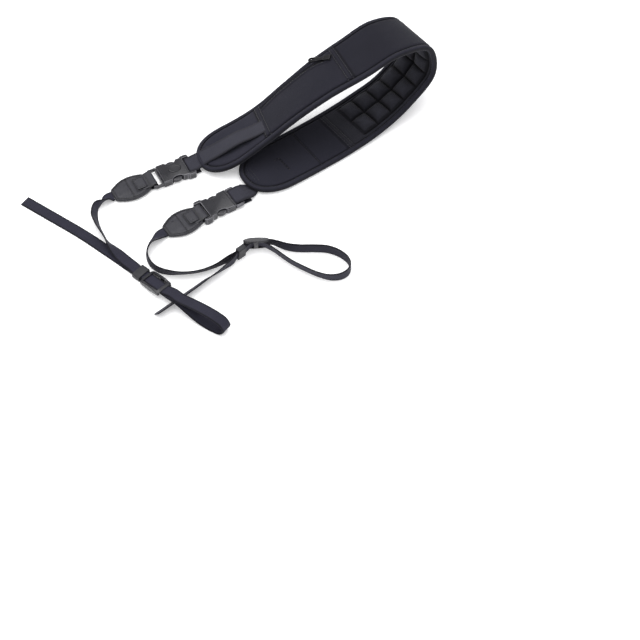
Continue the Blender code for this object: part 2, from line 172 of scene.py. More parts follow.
# A skin over rings of points. along and around are the weave coordinates in
# millimetres; around has one value more than a ring has points. shade scales the
# colour point by point: painted shade in seams and folds, painted highlight above one.
def loftMesh(name, rings, along, around, shade, looped=False):
    rings = np.asarray(rings, float)
    count, size = rings.shape[:2]
    rows = count if looped else count - 1
    row, column = np.meshgrid(np.arange(rows), np.arange(size), indexing="ij")
    here, ahead = row * size, (row + 1) % count * size
    onward = (column + 1) % size
    quads = np.stack([here + column, here + onward, ahead + onward, ahead + column], axis=-1)
    faces = quads.reshape(-1, 4).tolist()
    along, around = np.asarray(along, float), np.asarray(around, float)
    u = np.stack([along[row], along[row], along[row + 1], along[row + 1]], axis=-1)
    v = np.stack([around[column], around[column + 1]] * 2, axis=-1)[..., [0, 1, 3, 2]]
    uvs = np.stack([u, v], axis=-1).reshape(-1, 2)
    if not looped:
        faces.append(list(range(size))[::-1])
        faces.append(list(range((count - 1) * size, count * size)))
        ends = [[along[0], around[j]] for j in range(size)][::-1]
        ends += [[along[-1], around[j]] for j in range(size)]
        uvs = np.concatenate([uvs, np.array(ends)])
    mesh = bpy.data.meshes.new(name)
    mesh.from_pydata(((rings.reshape(-1, 3) - middle) * mm).tolist(), [], faces)
    layer = mesh.uv_layers.new(name="weave")
    layer.data.foreach_set("uv", uvs.astype(np.float32).ravel())
    bm = bmesh.new()
    bm.from_mesh(mesh)
    bmesh.ops.recalc_face_normals(bm, faces=bm.faces)
    bm.to_mesh(mesh)
    bm.free()
    mesh.shade_smooth()
    obj = addObject(name, mesh)
    pointValues(obj, "shade", np.ravel(shade))
    return obj


# Works an object's modifiers into its plain mesh.
def applyModifiers(obj):
    bpy.context.view_layer.update()
    graph = bpy.context.evaluated_depsgraph_get()
    made = bpy.data.meshes.new_from_object(
        obj.evaluated_get(graph), preserve_all_data_layers=True, depsgraph=graph
    )
    obj.modifiers.clear()
    obj.data = made
    made.shade_smooth()
    return made


# A node with its settings; each socket takes a link or a value.
def put(tree, kind, sockets=None, **settings):
    node = tree.nodes.new(kind)
    for key, value in settings.items():
        setattr(node, key, value)
    for key, value in (sockets or {}).items():
        if isinstance(value, bpy.types.NodeSocket):
            tree.links.new(value, node.inputs[key])
        else:
            node.inputs[key].default_value = value
    return node


def calc(tree, operation, *values):
    return put(tree, "ShaderNodeMath", dict(enumerate(values)), operation=operation).outputs[0]


def times(tree, value, *factors):
    for factor in factors:
        value = calc(tree, "MULTIPLY", value, factor)
    return value


def scaled(tree, vector, factor):
    sockets = {0: vector, "Scale": factor}
    return put(tree, "ShaderNodeVectorMath", sockets, operation="SCALE").outputs[0]


def noise(tree, vector, scale, detail):
    sockets = {"Vector": vector, "Scale": scale, "Detail": detail}
    return put(tree, "ShaderNodeTexNoise", sockets).outputs["Fac"]


# A tree of Geometry Nodes; inputs gives each input's label and first value.
def geometryTree(name, inputs):
    tree = bpy.data.node_groups.new(name, "GeometryNodeTree")
    face = tree.interface
    face.new_socket("Geometry", in_out="INPUT", socket_type="NodeSocketGeometry")
    kinds = {float: "Float", int: "Int", tuple: "Vector"}
    for label, value in inputs.items():
        kind = kinds.get(type(value), "Material")
        item = face.new_socket(label, in_out="INPUT", socket_type=f"NodeSocket{kind}")
        item.default_value = value
    face.new_socket("Geometry", in_out="OUTPUT", socket_type="NodeSocketGeometry")
    return tree, tree.nodes.new("NodeGroupInput").outputs


def readPoint(tree, name, kind="FLOAT"):
    return put(
        tree, "GeometryNodeInputNamedAttribute", {"Name": name}, data_type=kind
    ).outputs[0]


# Moves each point by size along way.
def push(tree, geometry, way, size):
    sockets = {"Geometry": geometry, "Offset": scaled(tree, way, size)}
    return put(tree, "GeometryNodeSetPosition", sockets).outputs[0]


# Realize Instances and Set Material close every tree.
def closeTree(tree, geometry, mat):
    real = put(tree, "GeometryNodeRealizeInstances", {0: geometry})
    done = put(tree, "GeometryNodeSetMaterial", {"Geometry": real.outputs[0], "Material": mat})
    end = tree.nodes.new("NodeGroupOutput")
    tree.links.new(done.outputs[0], end.inputs[0])


# Runs a tree on an object and keeps the result as its plain mesh.
def applyTree(obj, tree, values):
    change = obj.modifiers.new(tree.name, "NODES")
    change.node_group = tree
    for item in tree.interface.items_tree:
        if item.in_out == "INPUT" and item.name in values:
            change[item.identifier] = values[item.name]
    applyModifiers(obj)


def startMaterial(name, look):
    mat = bpy.data.materials.new(name)
    mat.use_nodes = True
    shader = mat.node_tree.nodes["Principled BSDF"]
    shader.inputs["Roughness"].default_value = look["rough"]
    shader.inputs["Specular IOR Level"].default_value = look["specular"]
    shader.inputs["Sheen Weight"].default_value = look.get("sheen", 0.0)
    mat.diffuse_color = (*look["colour"], 1.0)
    return mat, mat.node_tree, shader


# Colour that drifts between two shades over the piece, times the piece's own shade
# attribute (painted shade and highlight) and another factor.
def driftColour(tree, shader, look, place, factor=1.0):
    dark, light = ((*(c * look[key] for c in look["colour"]), 1.0) for key in ("darker", "lighter"))
    drift = put(
        tree,
        "ShaderNodeMix",
        {"Factor": noise(tree, place, look["driftScale"], 4.0), "A": dark, "B": light},
        data_type="RGBA",
    ).outputs["Result"]
    own = put(tree, "ShaderNodeAttribute", attribute_name="shade").outputs["Fac"]
    colour = scaled(tree, drift, times(tree, own, factor))
    tree.links.new(colour, shader.inputs["Base Color"])


def addBump(tree, shader, height, look):
    sockets = {"Height": height, "Strength": look["bump"], "Distance": look["depth"] * mm}
    bump = put(tree, "ShaderNodeBump", sockets)
    tree.links.new(bump.outputs["Normal"], shader.inputs["Normal"])


# Rubbed and dull places: the roughness drifts over the piece.
def driftRough(tree, shader, look, place, wear):
    rubbed = put(tree, "ShaderNodeMapRange", {
        "Value": noise(tree, place, wear["scale"], wear["detail"]),
        "From Min": 0.5 - wear["spread"],
        "From Max": 0.5 + wear["spread"],
        "To Min": look["rough"] - wear["smoother"],
        "To Max": look["rough"] + wear["rougher"],
    })
    tree.links.new(rubbed.outputs["Result"], shader.inputs["Roughness"])


# Woven cloth on the piece's own weave coordinates: threads go over and under in a
# check, or in slanting rows when slant is set.
def clothMaterial(name, look):
    mat, tree, shader = startMaterial(name, look)
    uv = put(tree, "ShaderNodeUVMap", uv_map="weave").outputs["UV"]
    parts = put(tree, "ShaderNodeSeparateXYZ", {"Vector": uv}).outputs
    u = calc(tree, "DIVIDE", parts["X"], look["thread"])
    v = calc(tree, "DIVIDE", parts["Y"], look["thread"] * look["stretch"])
    if look["slant"]:
        u = calc(tree, "ADD", u, times(tree, v, look["slant"]))
    warp, weft = (
        calc(tree, "ABSOLUTE", calc(tree, "SINE", times(tree, way, math.pi))) for way in (u, v)
    )
    tile = calc(tree, "ADD", calc(tree, "FLOOR", u), calc(tree, "FLOOR", v))
    over = calc(tree, "PINGPONG", tile, 1.0)
    mixed = put(tree, "ShaderNodeMix", {"Factor": over, "A": warp, "B": weft}).outputs["Result"]
    fuzz = noise(tree, uv, look["fuzzScale"], 3.0)
    height = calc(tree, "ADD", mixed, times(tree, fuzz, look["fuzz"]))
    place = put(tree, "ShaderNodeTexCoord").outputs["Object"]
    shade = calc(tree, "MULTIPLY_ADD", mixed, look["threadShade"], 1.0 - look["threadShade"])
    driftColour(tree, shader, look, place, shade)
    addBump(tree, shader, height, look)
    return mat


leatherGrain = {"creaseSlope": 3.2, "creaseTop": 0.6, "poreScale": 2.6, "poreHeight": 0.5}
leatherWear = {"scale": 160.0, "detail": 5.0, "spread": 0.2, "smoother": 0.09, "rougher": 0.12}
plasticWear = {"scale": 90.0, "detail": 6.0, "spread": 0.15, "smoother": 0.08, "rougher": 0.08}


# Creases between the grain's cells, and fine pores.
def leatherMaterial(name, look):
    mat, tree, shader = startMaterial(name, look)
    place = put(tree, "ShaderNodeTexCoord").outputs["Object"]
    scale = 1 / (look["grain"] * mm)
    cells = put(
        tree, "ShaderNodeTexVoronoi", {"Vector": place, "Scale": scale}, feature="DISTANCE_TO_EDGE"
    ).outputs["Distance"]
    sloped = times(tree, cells, leatherGrain["creaseSlope"])
    creases = calc(tree, "MINIMUM", sloped, leatherGrain["creaseTop"])
    pores = noise(tree, place, leatherGrain["poreScale"] * scale, 4.0)
    height = calc(tree, "ADD", creases, times(tree, pores, leatherGrain["poreHeight"]))
    addBump(tree, shader, height, look)
    driftRough(tree, shader, look, place, leatherWear)
    driftColour(tree, shader, look, place)
    return mat


# Moulded plastic: a fine spark-eroded skin, and a few rubbed places.
def mouldedMaterial(name, look):
    mat, tree, shader = startMaterial(name, look)
    place = put(tree, "ShaderNodeTexCoord").outputs["Object"]
    driftColour(tree, shader, look, place)
    addBump(tree, shader, noise(tree, place, 1 / (look["grain"] * mm), 3.0), look)
    driftRough(tree, shader, look, place, plasticWear)
    return mat


plainCloth = {
    "sheen": 0.06, "specular": 0.08, "stretch": 1.0, "slant": 0.0, "driftScale": 60.0,
    "darker": 0.86, "lighter": 1.16, "fuzz": 0.3, "fuzzScale": 1.6, "bump": 0.6, "depth": 0.1,
}
plainThread = {
    **plainCloth, "rough": 0.6, "sheen": 0.2, "thread": 0.3, "driftScale": 200.0, "darker": 0.8,
    "lighter": 1.25, "threadShade": 0.3, "slant": 0.6, "bump": 0.3, "depth": 0.05, "specular": 0.2,
}
clothLooks = {
    "facingNylon": {
        **plainCloth, "colour": (0.0172, 0.0170, 0.0250), "rough": 0.82, "sheen": 0.05,
        "thread": 0.62, "driftScale": 38.0, "threadShade": 0.22, "fuzz": 0.5, "depth": 0.12,
    },
    "liningNylon": {
        **plainCloth, "colour": (0.0190, 0.0190, 0.0280), "rough": 0.86, "thread": 0.5,
        "driftScale": 30.0, "threadShade": 0.15, "fuzz": 0.6, "bump": 0.5, "depth": 0.08,
    },
    "cushionMesh": {
        **plainCloth, "colour": (0.0250, 0.0250, 0.0330), "rough": 0.8, "thread": 0.95,
        "darker": 0.85, "lighter": 1.2, "threadShade": 0.34, "stretch": 1.35, "slant": 0.5,
        "fuzz": 0.35, "bump": 0.8, "depth": 0.2,
    },
    "bindingTape": {
        **plainCloth, "colour": (0.0180, 0.0178, 0.0268), "rough": 0.72, "thread": 0.55,
        "driftScale": 45.0, "darker": 0.85, "lighter": 1.2, "threadShade": 0.18, "stretch": 3.0,
        "fuzz": 0.4, "bump": 0.5, "depth": 0.08, "specular": 0.1,
    },
    "wideWebbing": {
        **plainCloth, "colour": (0.0325, 0.0322, 0.0445), "rough": 0.68, "thread": 0.62,
        "threadShade": 0.24, "stretch": 1.7, "slant": 0.25, "specular": 0.14,
    },
    "thinWebbing": {
        **plainCloth, "colour": (0.0250, 0.0244, 0.0390), "rough": 0.66, "thread": 0.62,
        "darker": 0.84, "lighter": 1.2, "threadShade": 0.24, "stretch": 1.5, "slant": 0.3,
        "specular": 0.12,
    },
    "sewingThread": {**plainThread, "colour": (0.0080, 0.0080, 0.0120)},
    # hemThread is the same thread painted lighter: a painted highlight on the hem and zip stitches.
    "hemThread": {**plainThread, "colour": (0.0560, 0.0560, 0.0660)},
}
fabrics = {name: clothMaterial(name, look) for name, look in clothLooks.items()}

grainLeather = leatherMaterial("grainLeather", {
    "colour": (0.0190, 0.0187, 0.0260), "rough": 0.36, "specular": 0.4, "grain": 0.75,
    "driftScale": 110.0, "darker": 0.82, "lighter": 1.22, "bump": 0.55, "depth": 0.16,
})
rubberLeather = leatherMaterial("rubberLeather", {
    "colour": (0.0200, 0.0200, 0.0240), "rough": 0.52, "specular": 0.35, "grain": 0.6,
    "driftScale": 120.0, "darker": 0.85, "lighter": 1.2, "bump": 0.4, "depth": 0.1,
})
satinPlastic = mouldedMaterial("satinPlastic", {
    "colour": (0.0135, 0.0132, 0.0175), "rough": 0.28, "specular": 0.42, "grain": 0.22,
    "driftScale": 70.0, "darker": 0.9, "lighter": 1.12, "bump": 0.35, "depth": 0.05,
})
# A lighter, glossier copy of the plastic: painted highlight on eased edges, the ring's rails and
# the zip pull's edges.
paintedHighlightPlastic = mouldedMaterial("paintedHighlightPlastic", {
    "colour": (0.0800, 0.0790, 0.0910), "rough": 0.22, "specular": 0.5, "grain": 0.3,
    "driftScale": 70.0, "darker": 0.8, "lighter": 1.25, "bump": 0.15, "depth": 0.03,
})
zipPaint = mouldedMaterial("zipPaint", {
    "colour": (0.0060, 0.0060, 0.0075), "rough": 0.42, "specular": 0.22, "grain": 0.5,
    "driftScale": 150.0, "darker": 0.8, "lighter": 1.3, "bump": 0.15, "depth": 0.03,
})
print("materials ready")


padShape = {
    "width": 62.0,
    "length": 532.6,
    "lobe": 43.0,  # length of each round end
    "lobePower": 2.3,
    "tip": 1.2,  # how far the round tip reaches past the band's end
    "rimInset": 0.8,
    "rim": (5.4, 6.4),  # the faces begin between these distances from the edge
    # distance from the edge; the body's height over its middle surface
    "profile": [
        (0.8, 1.2), (1.8, 1.7), (3.0, 1.6), (4.0, 1.1), (5.4, 1.1), (6.0, 2.2), (7.2, 2.9),
        (9.6, 3.05),
    ],
    # columns of points near each edge, as half widths
    "rimColumns": [
        30.2, 28.6, 27.2, 26.5, 26.1, 25.8, 25.5, 25.2, 24.9, 24.5, 24.0, 23.5, 23.0, 22.5,
    ],
    "faceColumns": 18,
    "lobeAngles": (0.13, math.pi / 2, 30),  # the stations on each round end
    "step": 1.25,
    "cellSteps": 16,
    "cellsFrom": 132.1,
    "cellsTo": 400.5,
    "cellRows": 14,
    "cellHalf": 22.0,
    "cellRise": 5.2,
    "cellRoundness": 2.5,
    "cellFullness": 0.5,
    "cellUnevenness": 0.2,
}
cellPitch = (padShape["cellsTo"] - padShape["cellsFrom"]) / padShape["cellRows"]

# The outer face: a pocket between two hems, with a zip along its far side.
outerFace = {
    "pocket": (73.2, 178.4),
    "pocketEnd": 0.7,
    "pocketRise": 0.85,
    "puff": 0.7,
    "puffHalf": 24.0,
    "seams": (74.2, 79.4, 171.8, 176.8),
    "seamDepth": 0.7,
    "seamWidth": 0.7,
    "hemRise": 0.35,
    "hemBlur": (1.6, 0.8),  # the hem rises between these distances from its seams
    "zipReach": (79.8, 81.5, 168.0, 169.5),
    "zipDepth": 1.3,
    "zipWidth": 1.7,
    "lipRise": 0.7,
    "lipWidth": 1.1,
    "lipShift": 3.2,
    "wobble": 0.11,
}
# The zip on the outer face: arc, shift towards the near edge
zipPath = np.array([
    (80.5, -18.8), (87, -20.0), (94, -21.0), (106, -21.8), (120, -21.8), (134, -21.6),
    (146, -21.0), (153, -19.6), (159, -17.6), (166, -15.4),
])
# The inner face: plain cloth at both ends, the cushioned cells between.
innerFace = {
    "seams": (75.1, 111.6, 116.4, 416.2, 421.0, 457.5),
    "panelEdges": (109.2, 423.6),
    "seamDepth": 0.75,
    "seamWidth": 0.75,
    "cellsMiddle": 266.3,
    "cellsReach": (-140, -130),
    "cellsSunk": 0.75,  # the cells' seams lie lower than the plain cloth
    "ditch": (0.5, 8.6, 0.6),  # depth, distance from the edge, width
    "ridge": (0.45, 7.2, 0.8),  # between cells and binding: height, distance, width
    "wobble": 0.13,
}
# A short L of close stitches on lobe B: arc and shift of its corner, its far ends
tack = {
    "arc": 488.0, "shift": -4.6, "top": 14.0, "toe": 493.0, "width": 0.7, "depth": 0.5,
    # where the sunk line begins and ends along each arm of the L
    "uprightEnds": (-5.4, -4.6, 13.6, 14.4), "footEnds": (487.4, 488.2, 492.6, 493.4),
}


def padFrame(arc):
    arc = np.atleast_1d(np.asarray(arc, float))
    x, y, z, turn, tilt = spline(padRoute, arc).T
    ahead = spline(padRoute, arc + 0.5)[:, :3] - spline(padRoute, arc - 0.5)[:, :3]
    turn, tilt = np.radians(turn), np.radians(tilt)
    side = np.stack(
        [np.cos(tilt) * np.sin(turn), -np.cos(tilt) * np.cos(turn), np.sin(tilt)], axis=1
    )
    ahead = unit(ahead)
    side = squared(side, ahead)
    return np.stack([x, y, z], axis=1), ahead, side, np.cross(ahead, side)


# Points over the band: height is above the middle surface, on the cushioned side.
def onPad(arc, shift, height):
    spot, _, side, inward = padFrame(arc)
    return spot + side * np.asarray(shift)[:, None] + inward * np.asarray(height)[:, None]


# The round end, from its tip to its side: distance from the tip, half width.
def lobeCurve(count):
    angle = np.linspace(0, math.pi / 2, count)
    share = 2 / padShape["lobePower"]
    inset = padShape["lobe"] * (1 - np.cos(angle) ** share)
    return inset, padShape["width"] / 2 * np.sin(angle) ** share


def tipInset(arc):
    arc = np.asarray(arc, float)
    return np.minimum(arc, padShape["length"] - arc) + padShape["tip"]


def halfWidth(arc):
    q = np.clip(1 - tipInset(arc) / padShape["lobe"], 0, 1)
    power = padShape["lobePower"]
    return padShape["width"] / 2 * (1 - q**power) ** (1 / power)


# How far a place on the band is from its edge.
def rimDistance(arc, shift):
    lobe = padShape["lobe"]
    inset, shift = tipInset(arc), np.abs(shift)
    far = padShape["width"] / 2 - shift
    near = inset < lobe + 14
    gaps = nearest(np.stack([inset[near], shift[near]], axis=1), np.stack(lobeCurve(260), axis=1))
    far[near] = np.where(inset[near] < lobe, gaps, np.minimum(far[near], gaps))
    return far


# The body's height over its middle surface, before seams and cushions.
def bodyHeight(distance):
    return np.interp(distance, *np.array(padShape["profile"]).T)


def zipShift(arc):
    return np.interp(arc, zipPath[:, 0], zipPath[:, 1])


def zipReach(arc):
    return between(arc, *outerFace["zipReach"])


def outerHeight(arc, shift):
    face = outerFace
    distance = rimDistance(arc, shift)
    clear = ease(distance, *padShape["rim"])
    (start, end), blur = face["pocket"], face["pocketEnd"]
    panel = between(arc, start - blur, start + blur, end - blur, end + blur)
    height = bodyHeight(distance) + face["pocketRise"] * panel * clear
    share = np.clip((arc - start) / (end - start), 0, 1)
    crown = np.sin(np.pi * share) ** 0.7 * np.clip(1 - (shift / face["puffHalf"]) ** 2, 0, 1)
    height += face["puff"] * crown * panel
    for seam in face["seams"]:
        height -= face["seamDepth"] * groove(arc, seam, face["seamWidth"]) * clear
    out, near = face["hemBlur"]
    for first, last in (face["seams"][:2], face["seams"][2:]):
        hem = between(arc, first - out, first - near, last + near, last + out)
        height += face["hemRise"] * hem * clear
    reach, middleLine = zipReach(arc), zipShift(arc)
    height -= face["zipDepth"] * reach * groove(shift, middleLine, face["zipWidth"])
    height += face["lipRise"] * reach * groove(
        shift, middleLine + face["lipShift"], face["lipWidth"]
    )
    soft = np.sin(arc / 23.0 + 1.7) * np.cos(shift / 19.0) + 0.6 * np.sin(arc / 11.0 + shift / 9.0)
    return height + face["wobble"] * soft * clear


def tackLine(arc, shift):
    arcAt, shiftAt, width = tack["arc"], tack["shift"], tack["width"]
    upright = groove(arc, arcAt, width) * between(shift, *tack["uprightEnds"])
    foot = groove(shift, shiftAt, width) * between(arc, *tack["footEnds"])
    return np.maximum(upright, foot)


def innerHeight(arc, shift):
    face = innerFace
    distance = rimDistance(arc, shift)
    clear = ease(distance, *padShape["rim"])
    height = bodyHeight(distance)
    for seam in face["seams"] + face["panelEdges"]:
        height -= face["seamDepth"] * groove(arc, seam, face["seamWidth"]) * clear
    cells = ease(-np.abs(arc - face["cellsMiddle"]), *face["cellsReach"])
    height -= face["cellsSunk"] * cells * clear
    height -= face["ditch"][0] * cells * groove(distance, *face["ditch"][1:])
    height += face["ridge"][0] * cells * groove(distance, *face["ridge"][1:])
    height -= tack["depth"] * tackLine(arc, shift)
    soft = np.sin(arc / 17.0) * np.cos(shift / 15.0 + 0.6) + 0.5 * np.sin(arc / 8.0 - shift / 7.0)
    return height + face["wobble"] * soft * clear * (1 - cells)


# Painted shade and highlight: the cloth darker where it is sewn down or sunk, lighter where it
# stands up.
padShades = {
    "rim": (0.68, 5.2, 0.75),  # depth, distance from the edge, width
    "outerSeam": (0.6, 0.9),  # depth, width
    "innerSeam": (0.62, 0.9),
    "hemSide": (0.65, 0.8),
    "besideHem": (1.4, 1.8, 2.2),  # distances from the pocket's outer seams
    "panelEdge": (0.75, 0.9),
    # the lobe panel before the pocket lighter, the arched panel after it painted shade
    "beforePocket": 0.35,
    "afterPocket": -0.1,
    "zip": (-0.8, 0.0, 1.7),  # change, shift from the zip, width
    "zipTape": (-0.4, 4.9, 0.7),
    "zipLip": (0.25, 3.2, 1.0),
    "tack": 0.8,
    "ridge": (0.5, 7.1, 0.8),  # change, distance from the edge, width
    "crown": (0.45, 3.0, 8.0),  # change, and the distances from a seam where it grows
    "valley": (0.8, 0.3, 3.0),
}


def rimShade(distance):
    depth, *line = padShades["rim"]
    return 1 - depth * groove(distance, *line)


def seamShade(arc, seams, kind, clear):
    depth, width = padShades[kind]
    return np.prod([1 - depth * groove(arc, seam, width) * clear for seam in seams], axis=0)


# Painted shade along the rim, in the seams and the zip's channel and tape, painted highlight on the
# zip's lip; the lobe panel before the pocket lighter and the arched panel after it painted shade.
def outerShade(arc, shift):
    distance = rimDistance(arc, shift)
    clear = ease(distance, *padShape["rim"])
    seams = outerFace["seams"]
    shade = rimShade(distance) * seamShade(arc, seams, "outerSeam", clear)
    first, last = seams[0], seams[-1]
    near, line, far = padShades["besideHem"]
    shade *= 1 + padShades["beforePocket"] * (1 - ease(arc, first - far, first - near))
    shade *= 1 + padShades["afterPocket"] * ease(arc, last + near, last + far)
    shade *= seamShade(arc, (first - line, last + line), "hemSide", clear)
    for part in ("zip", "zipTape", "zipLip"):
        change, aside, width = padShades[part]
        shade *= 1 + change * zipReach(arc) * groove(shift, zipShift(arc) + aside, width)
    return shade


# Painted shade along the rim, in the seams, panel edges, tack and the valleys between cells;
# painted highlight on the cells' crowns and the ridge by the binding.
def innerShade(arc, shift):
    distance = rimDistance(arc, shift)
    clear = ease(distance, *padShape["rim"])
    shade = rimShade(distance) * seamShade(arc, innerFace["seams"], "innerSeam", clear)
    shade *= seamShade(arc, innerFace["panelEdges"], "panelEdge", clear)
    shade *= 1 - padShades["tack"] * tackLine(arc, shift)
    half, rows = padShape["cellHalf"], padShape["cellRows"]
    place = (arc - padShape["cellsFrom"]) / cellPitch
    inside = between(place, -0.05, 0.05, rows - 0.05, rows + 0.05)
    rowGap = np.abs(place - np.round(place)) * cellPitch
    columnGap = np.minimum(np.abs(shift), np.abs(np.abs(shift) - half))
    valley = np.where(np.abs(shift) < half, np.minimum(rowGap, columnGap), columnGap)
    change, *line = padShades["ridge"]
    shade *= 1 + change * inside * groove(distance, *line)
    change, *ends = padShades["crown"]
    shade *= 1 + change * inside * ease(valley, *ends)
    depth, *ends = padShades["valley"]
    return shade * (1 - depth * inside * clear * (1 - ease(valley, *ends)))


def makePadBody():
    start, end, length = padShape["cellsFrom"], padShape["cellsTo"], padShape["length"]
    step, half = padShape["step"], padShape["cellHalf"]
    lobe = padShape["lobe"] * (1 - np.cos(np.linspace(*padShape["lobeAngles"])))
    stations = np.concatenate([
        lobe - 0.4,
        np.arange(lobe[-1] + 0.9, start - 0.6, step),
        np.linspace(start, end, padShape["cellRows"] * padShape["cellSteps"] + 1),
        np.arange(end + step, length - lobe[-1] - 0.2, step),
        (length - lobe + 0.4)[::-1],
    ])
    faces = np.linspace(half, 0, padShape["faceColumns"])
    columns = np.append(padShape["rimColumns"], faces)
    shares = np.concatenate([columns, -columns[-2::-1]]) / columns[0]
    arcs = np.repeat(stations, len(shares)).reshape(len(stations), -1)
    shifts = (halfWidth(stations) - padShape["rimInset"])[:, None] * shares[None]
    back = shifts[:, ::-1]
    ringArcs = np.concatenate([arcs, arcs], axis=1)
    ringShifts = np.concatenate([shifts, back], axis=1)
    heights = np.concatenate([innerHeight(arcs, shifts), -outerHeight(arcs, back)], axis=1)
    shade = np.concatenate([innerShade(arcs, shifts), outerShade(arcs, back)], axis=1)
    points = onPad(ringArcs.ravel(), ringShifts.ravel(), heights.ravel())
    around = np.append(ringShifts[len(stations) // 2], columns[0])
    body = loftMesh("padBody", points.reshape(*ringArcs.shape, 3), stations, around, shade)
    inward = np.repeat(padFrame(stations)[3], ringArcs.shape[1], axis=0)
    face = np.zeros(ringArcs.shape)
    face[:, 1 : len(shares) - 1] = 1.0
    pointValues(body, "cellRow", (ringArcs.ravel() - start) / cellPitch)
    pointValues(body, "cellColumn", ringShifts.ravel() / half)
    pointValues(body, "cushionWay", inward * face.reshape(-1, 1))
    return body


# Cushions between the seams: each cell swells to a soft square.
def quiltTree(mat):
    tree, given = geometryTree("cushionCells", {
        "Rise": padShape["cellRise"] * mm,
        "Rows": float(padShape["cellRows"]),
        "Roundness": padShape["cellRoundness"],
        "Fullness": padShape["cellFullness"],
        "Unevenness": padShape["cellUnevenness"],
        "Seed": 3,
        "Cloth": mat,
    })
    row, column = readPoint(tree, "cellRow"), readPoint(tree, "cellColumn")
    way = readPoint(tree, "cushionWay", "FLOAT_VECTOR")

    def hump(share):
        spread = calc(tree, "ABSOLUTE", calc(tree, "MULTIPLY_ADD", share, 2.0, -1.0))
        top = calc(tree, "SUBTRACT", 1.0, calc(tree, "POWER", spread, given["Roundness"]))
        return calc(tree, "POWER", calc(tree, "MAXIMUM", top, 0.0), given["Fullness"])

    rowHump = hump(calc(tree, "FRACT", row))
    columnHump = hump(calc(tree, "MINIMUM", calc(tree, "ABSOLUTE", column), 1.0))
    inside = times(tree, calc(tree, "GREATER_THAN", row, 0.0),
                   calc(tree, "LESS_THAN", row, given["Rows"]))
    cell = put(tree, "ShaderNodeCombineXYZ", {
        "X": calc(tree, "FLOOR", row), "Y": calc(tree, "SIGN", column), "Z": given["Seed"],
    })
    chance = put(tree, "ShaderNodeTexWhiteNoise", {"Vector": cell.outputs[0]}).outputs["Value"]
    vary = calc(tree, "MULTIPLY_ADD", calc(tree, "SUBTRACT", chance, 0.7), given["Unevenness"], 1.0)
    size = times(tree, rowHump, columnHump, given["Rise"], inside, vary)
    closeTree(tree, push(tree, given["Geometry"], way, size), given["Cloth"])
    return tree


# Outer face, plain inner face and cushions each get their own cloth.
def sortPadFaces(mesh):
    count = len(mesh.vertices)
    rowOf, wayOf = np.zeros(count), np.zeros(count * 3)
    mesh.attributes["cellRow"].data.foreach_get("value", rowOf)
    mesh.attributes["cushionWay"].data.foreach_get("vector", wayOf)
    inner = np.linalg.norm(wayOf.reshape(-1, 3), axis=1) > 0.5
    low, high = ((innerFace["seams"][k] - padShape["cellsFrom"]) / cellPitch for k in (1, 4))
    for polygon in mesh.polygons:
        ids = list(polygon.vertices)
        cushioned = low < rowOf[ids].mean() < high
        polygon.material_index = (2 if cushioned else 1) if inner[ids].any() else 0


padBody = makePadBody()
applyTree(padBody, quiltTree(fabrics["cushionMesh"]), {})
padCloths = [fabrics[name] for name in ("facingNylon", "liningNylon", "cushionMesh")]
finish(padBody, padCloths, ["pad"])
sortPadFaces(padBody.data)
print("band ready:", len(padBody.data.polygons), "faces")


# The edge of the band as one closed line of arc and shift, with the way outwards.
def rimLine(step):
    inset, half = lobeCurve(160)
    near, far = inset - padShape["tip"], padShape["length"] + padShape["tip"] - inset
    arc = np.concatenate([near, far[::-1], far, near[::-1]])
    shift = np.concatenate([half, half[::-1], -half, -half[::-1]])
    line = np.stack([arc, shift], axis=1)
    kept = [line[0]]
    for spot in line[1:]:
        if np.hypot(*(spot - kept[-1])) > 1e-3:
            kept.append(spot)
    line = np.array(kept)
    if np.hypot(*(line[0] - line[-1])) < 1e-3:
        line = line[:-1]
    looped = np.vstack([line, line[:1]])
    run = np.concatenate([[0], np.cumsum(np.hypot(*np.diff(looped, axis=0).T))])
    stations = np.linspace(0, run[-1], int(round(run[-1] / step)), endpoint=False)
    spots = np.stack([np.interp(stations, run, looped[:, k]) for k in (0, 1)], axis=1)
    for _ in range(3):
        spots = (np.roll(spots, 1, axis=0) + 2 * spots + np.roll(spots, -1, axis=0)) / 4
    tangent = unit(np.roll(spots, -1, axis=0) - np.roll(spots, 1, axis=0))
    outward = np.stack([-tangent[:, 1], tangent[:, 0]], axis=1)
    if (outward * (spots - spots.mean(axis=0))).sum() < 0:
        outward = -outward
    return spots, outward, stations, run[-1]


bindingShape = {
    "profile": [  # distance in from the edge, height
        (4.7, 1.2), (4.8, 1.75), (4.55, 2.25), (3.95, 2.5), (3.1, 2.8), (2.2, 2.85), (1.4, 2.65),
        (0.75, 2.2), (0.25, 1.4), (0.0, 0.5),
    ],
    # shade: painted highlight on the rolled tape's crown, painted shade at its sides; insideShade
    # is painted shade inside the fold
    "shade": [0.4, 0.45, 0.75, 0.95, 1.1, 1.12, 1.05, 0.85, 0.55, 0.4],
    "inside": [(3.2, -0.9), (3.2, 0.9)],
    "insideShade": 0.4,
    "insideRun": 40.0,  # the weave's place where the section closes
    "overWebbing": (1.0, 10.8, 1.0),  # the webbing's shift at tip A, half width, extra height
    "overBlur": (1.2, 0.4),
    "overTo": 20.0,
    "rippleFrom": 3.5,
    "step": 1.2,
    "ripple": 0.0245,
    "ripplePitch": 3.7,
    "wobble": 0.05,
}


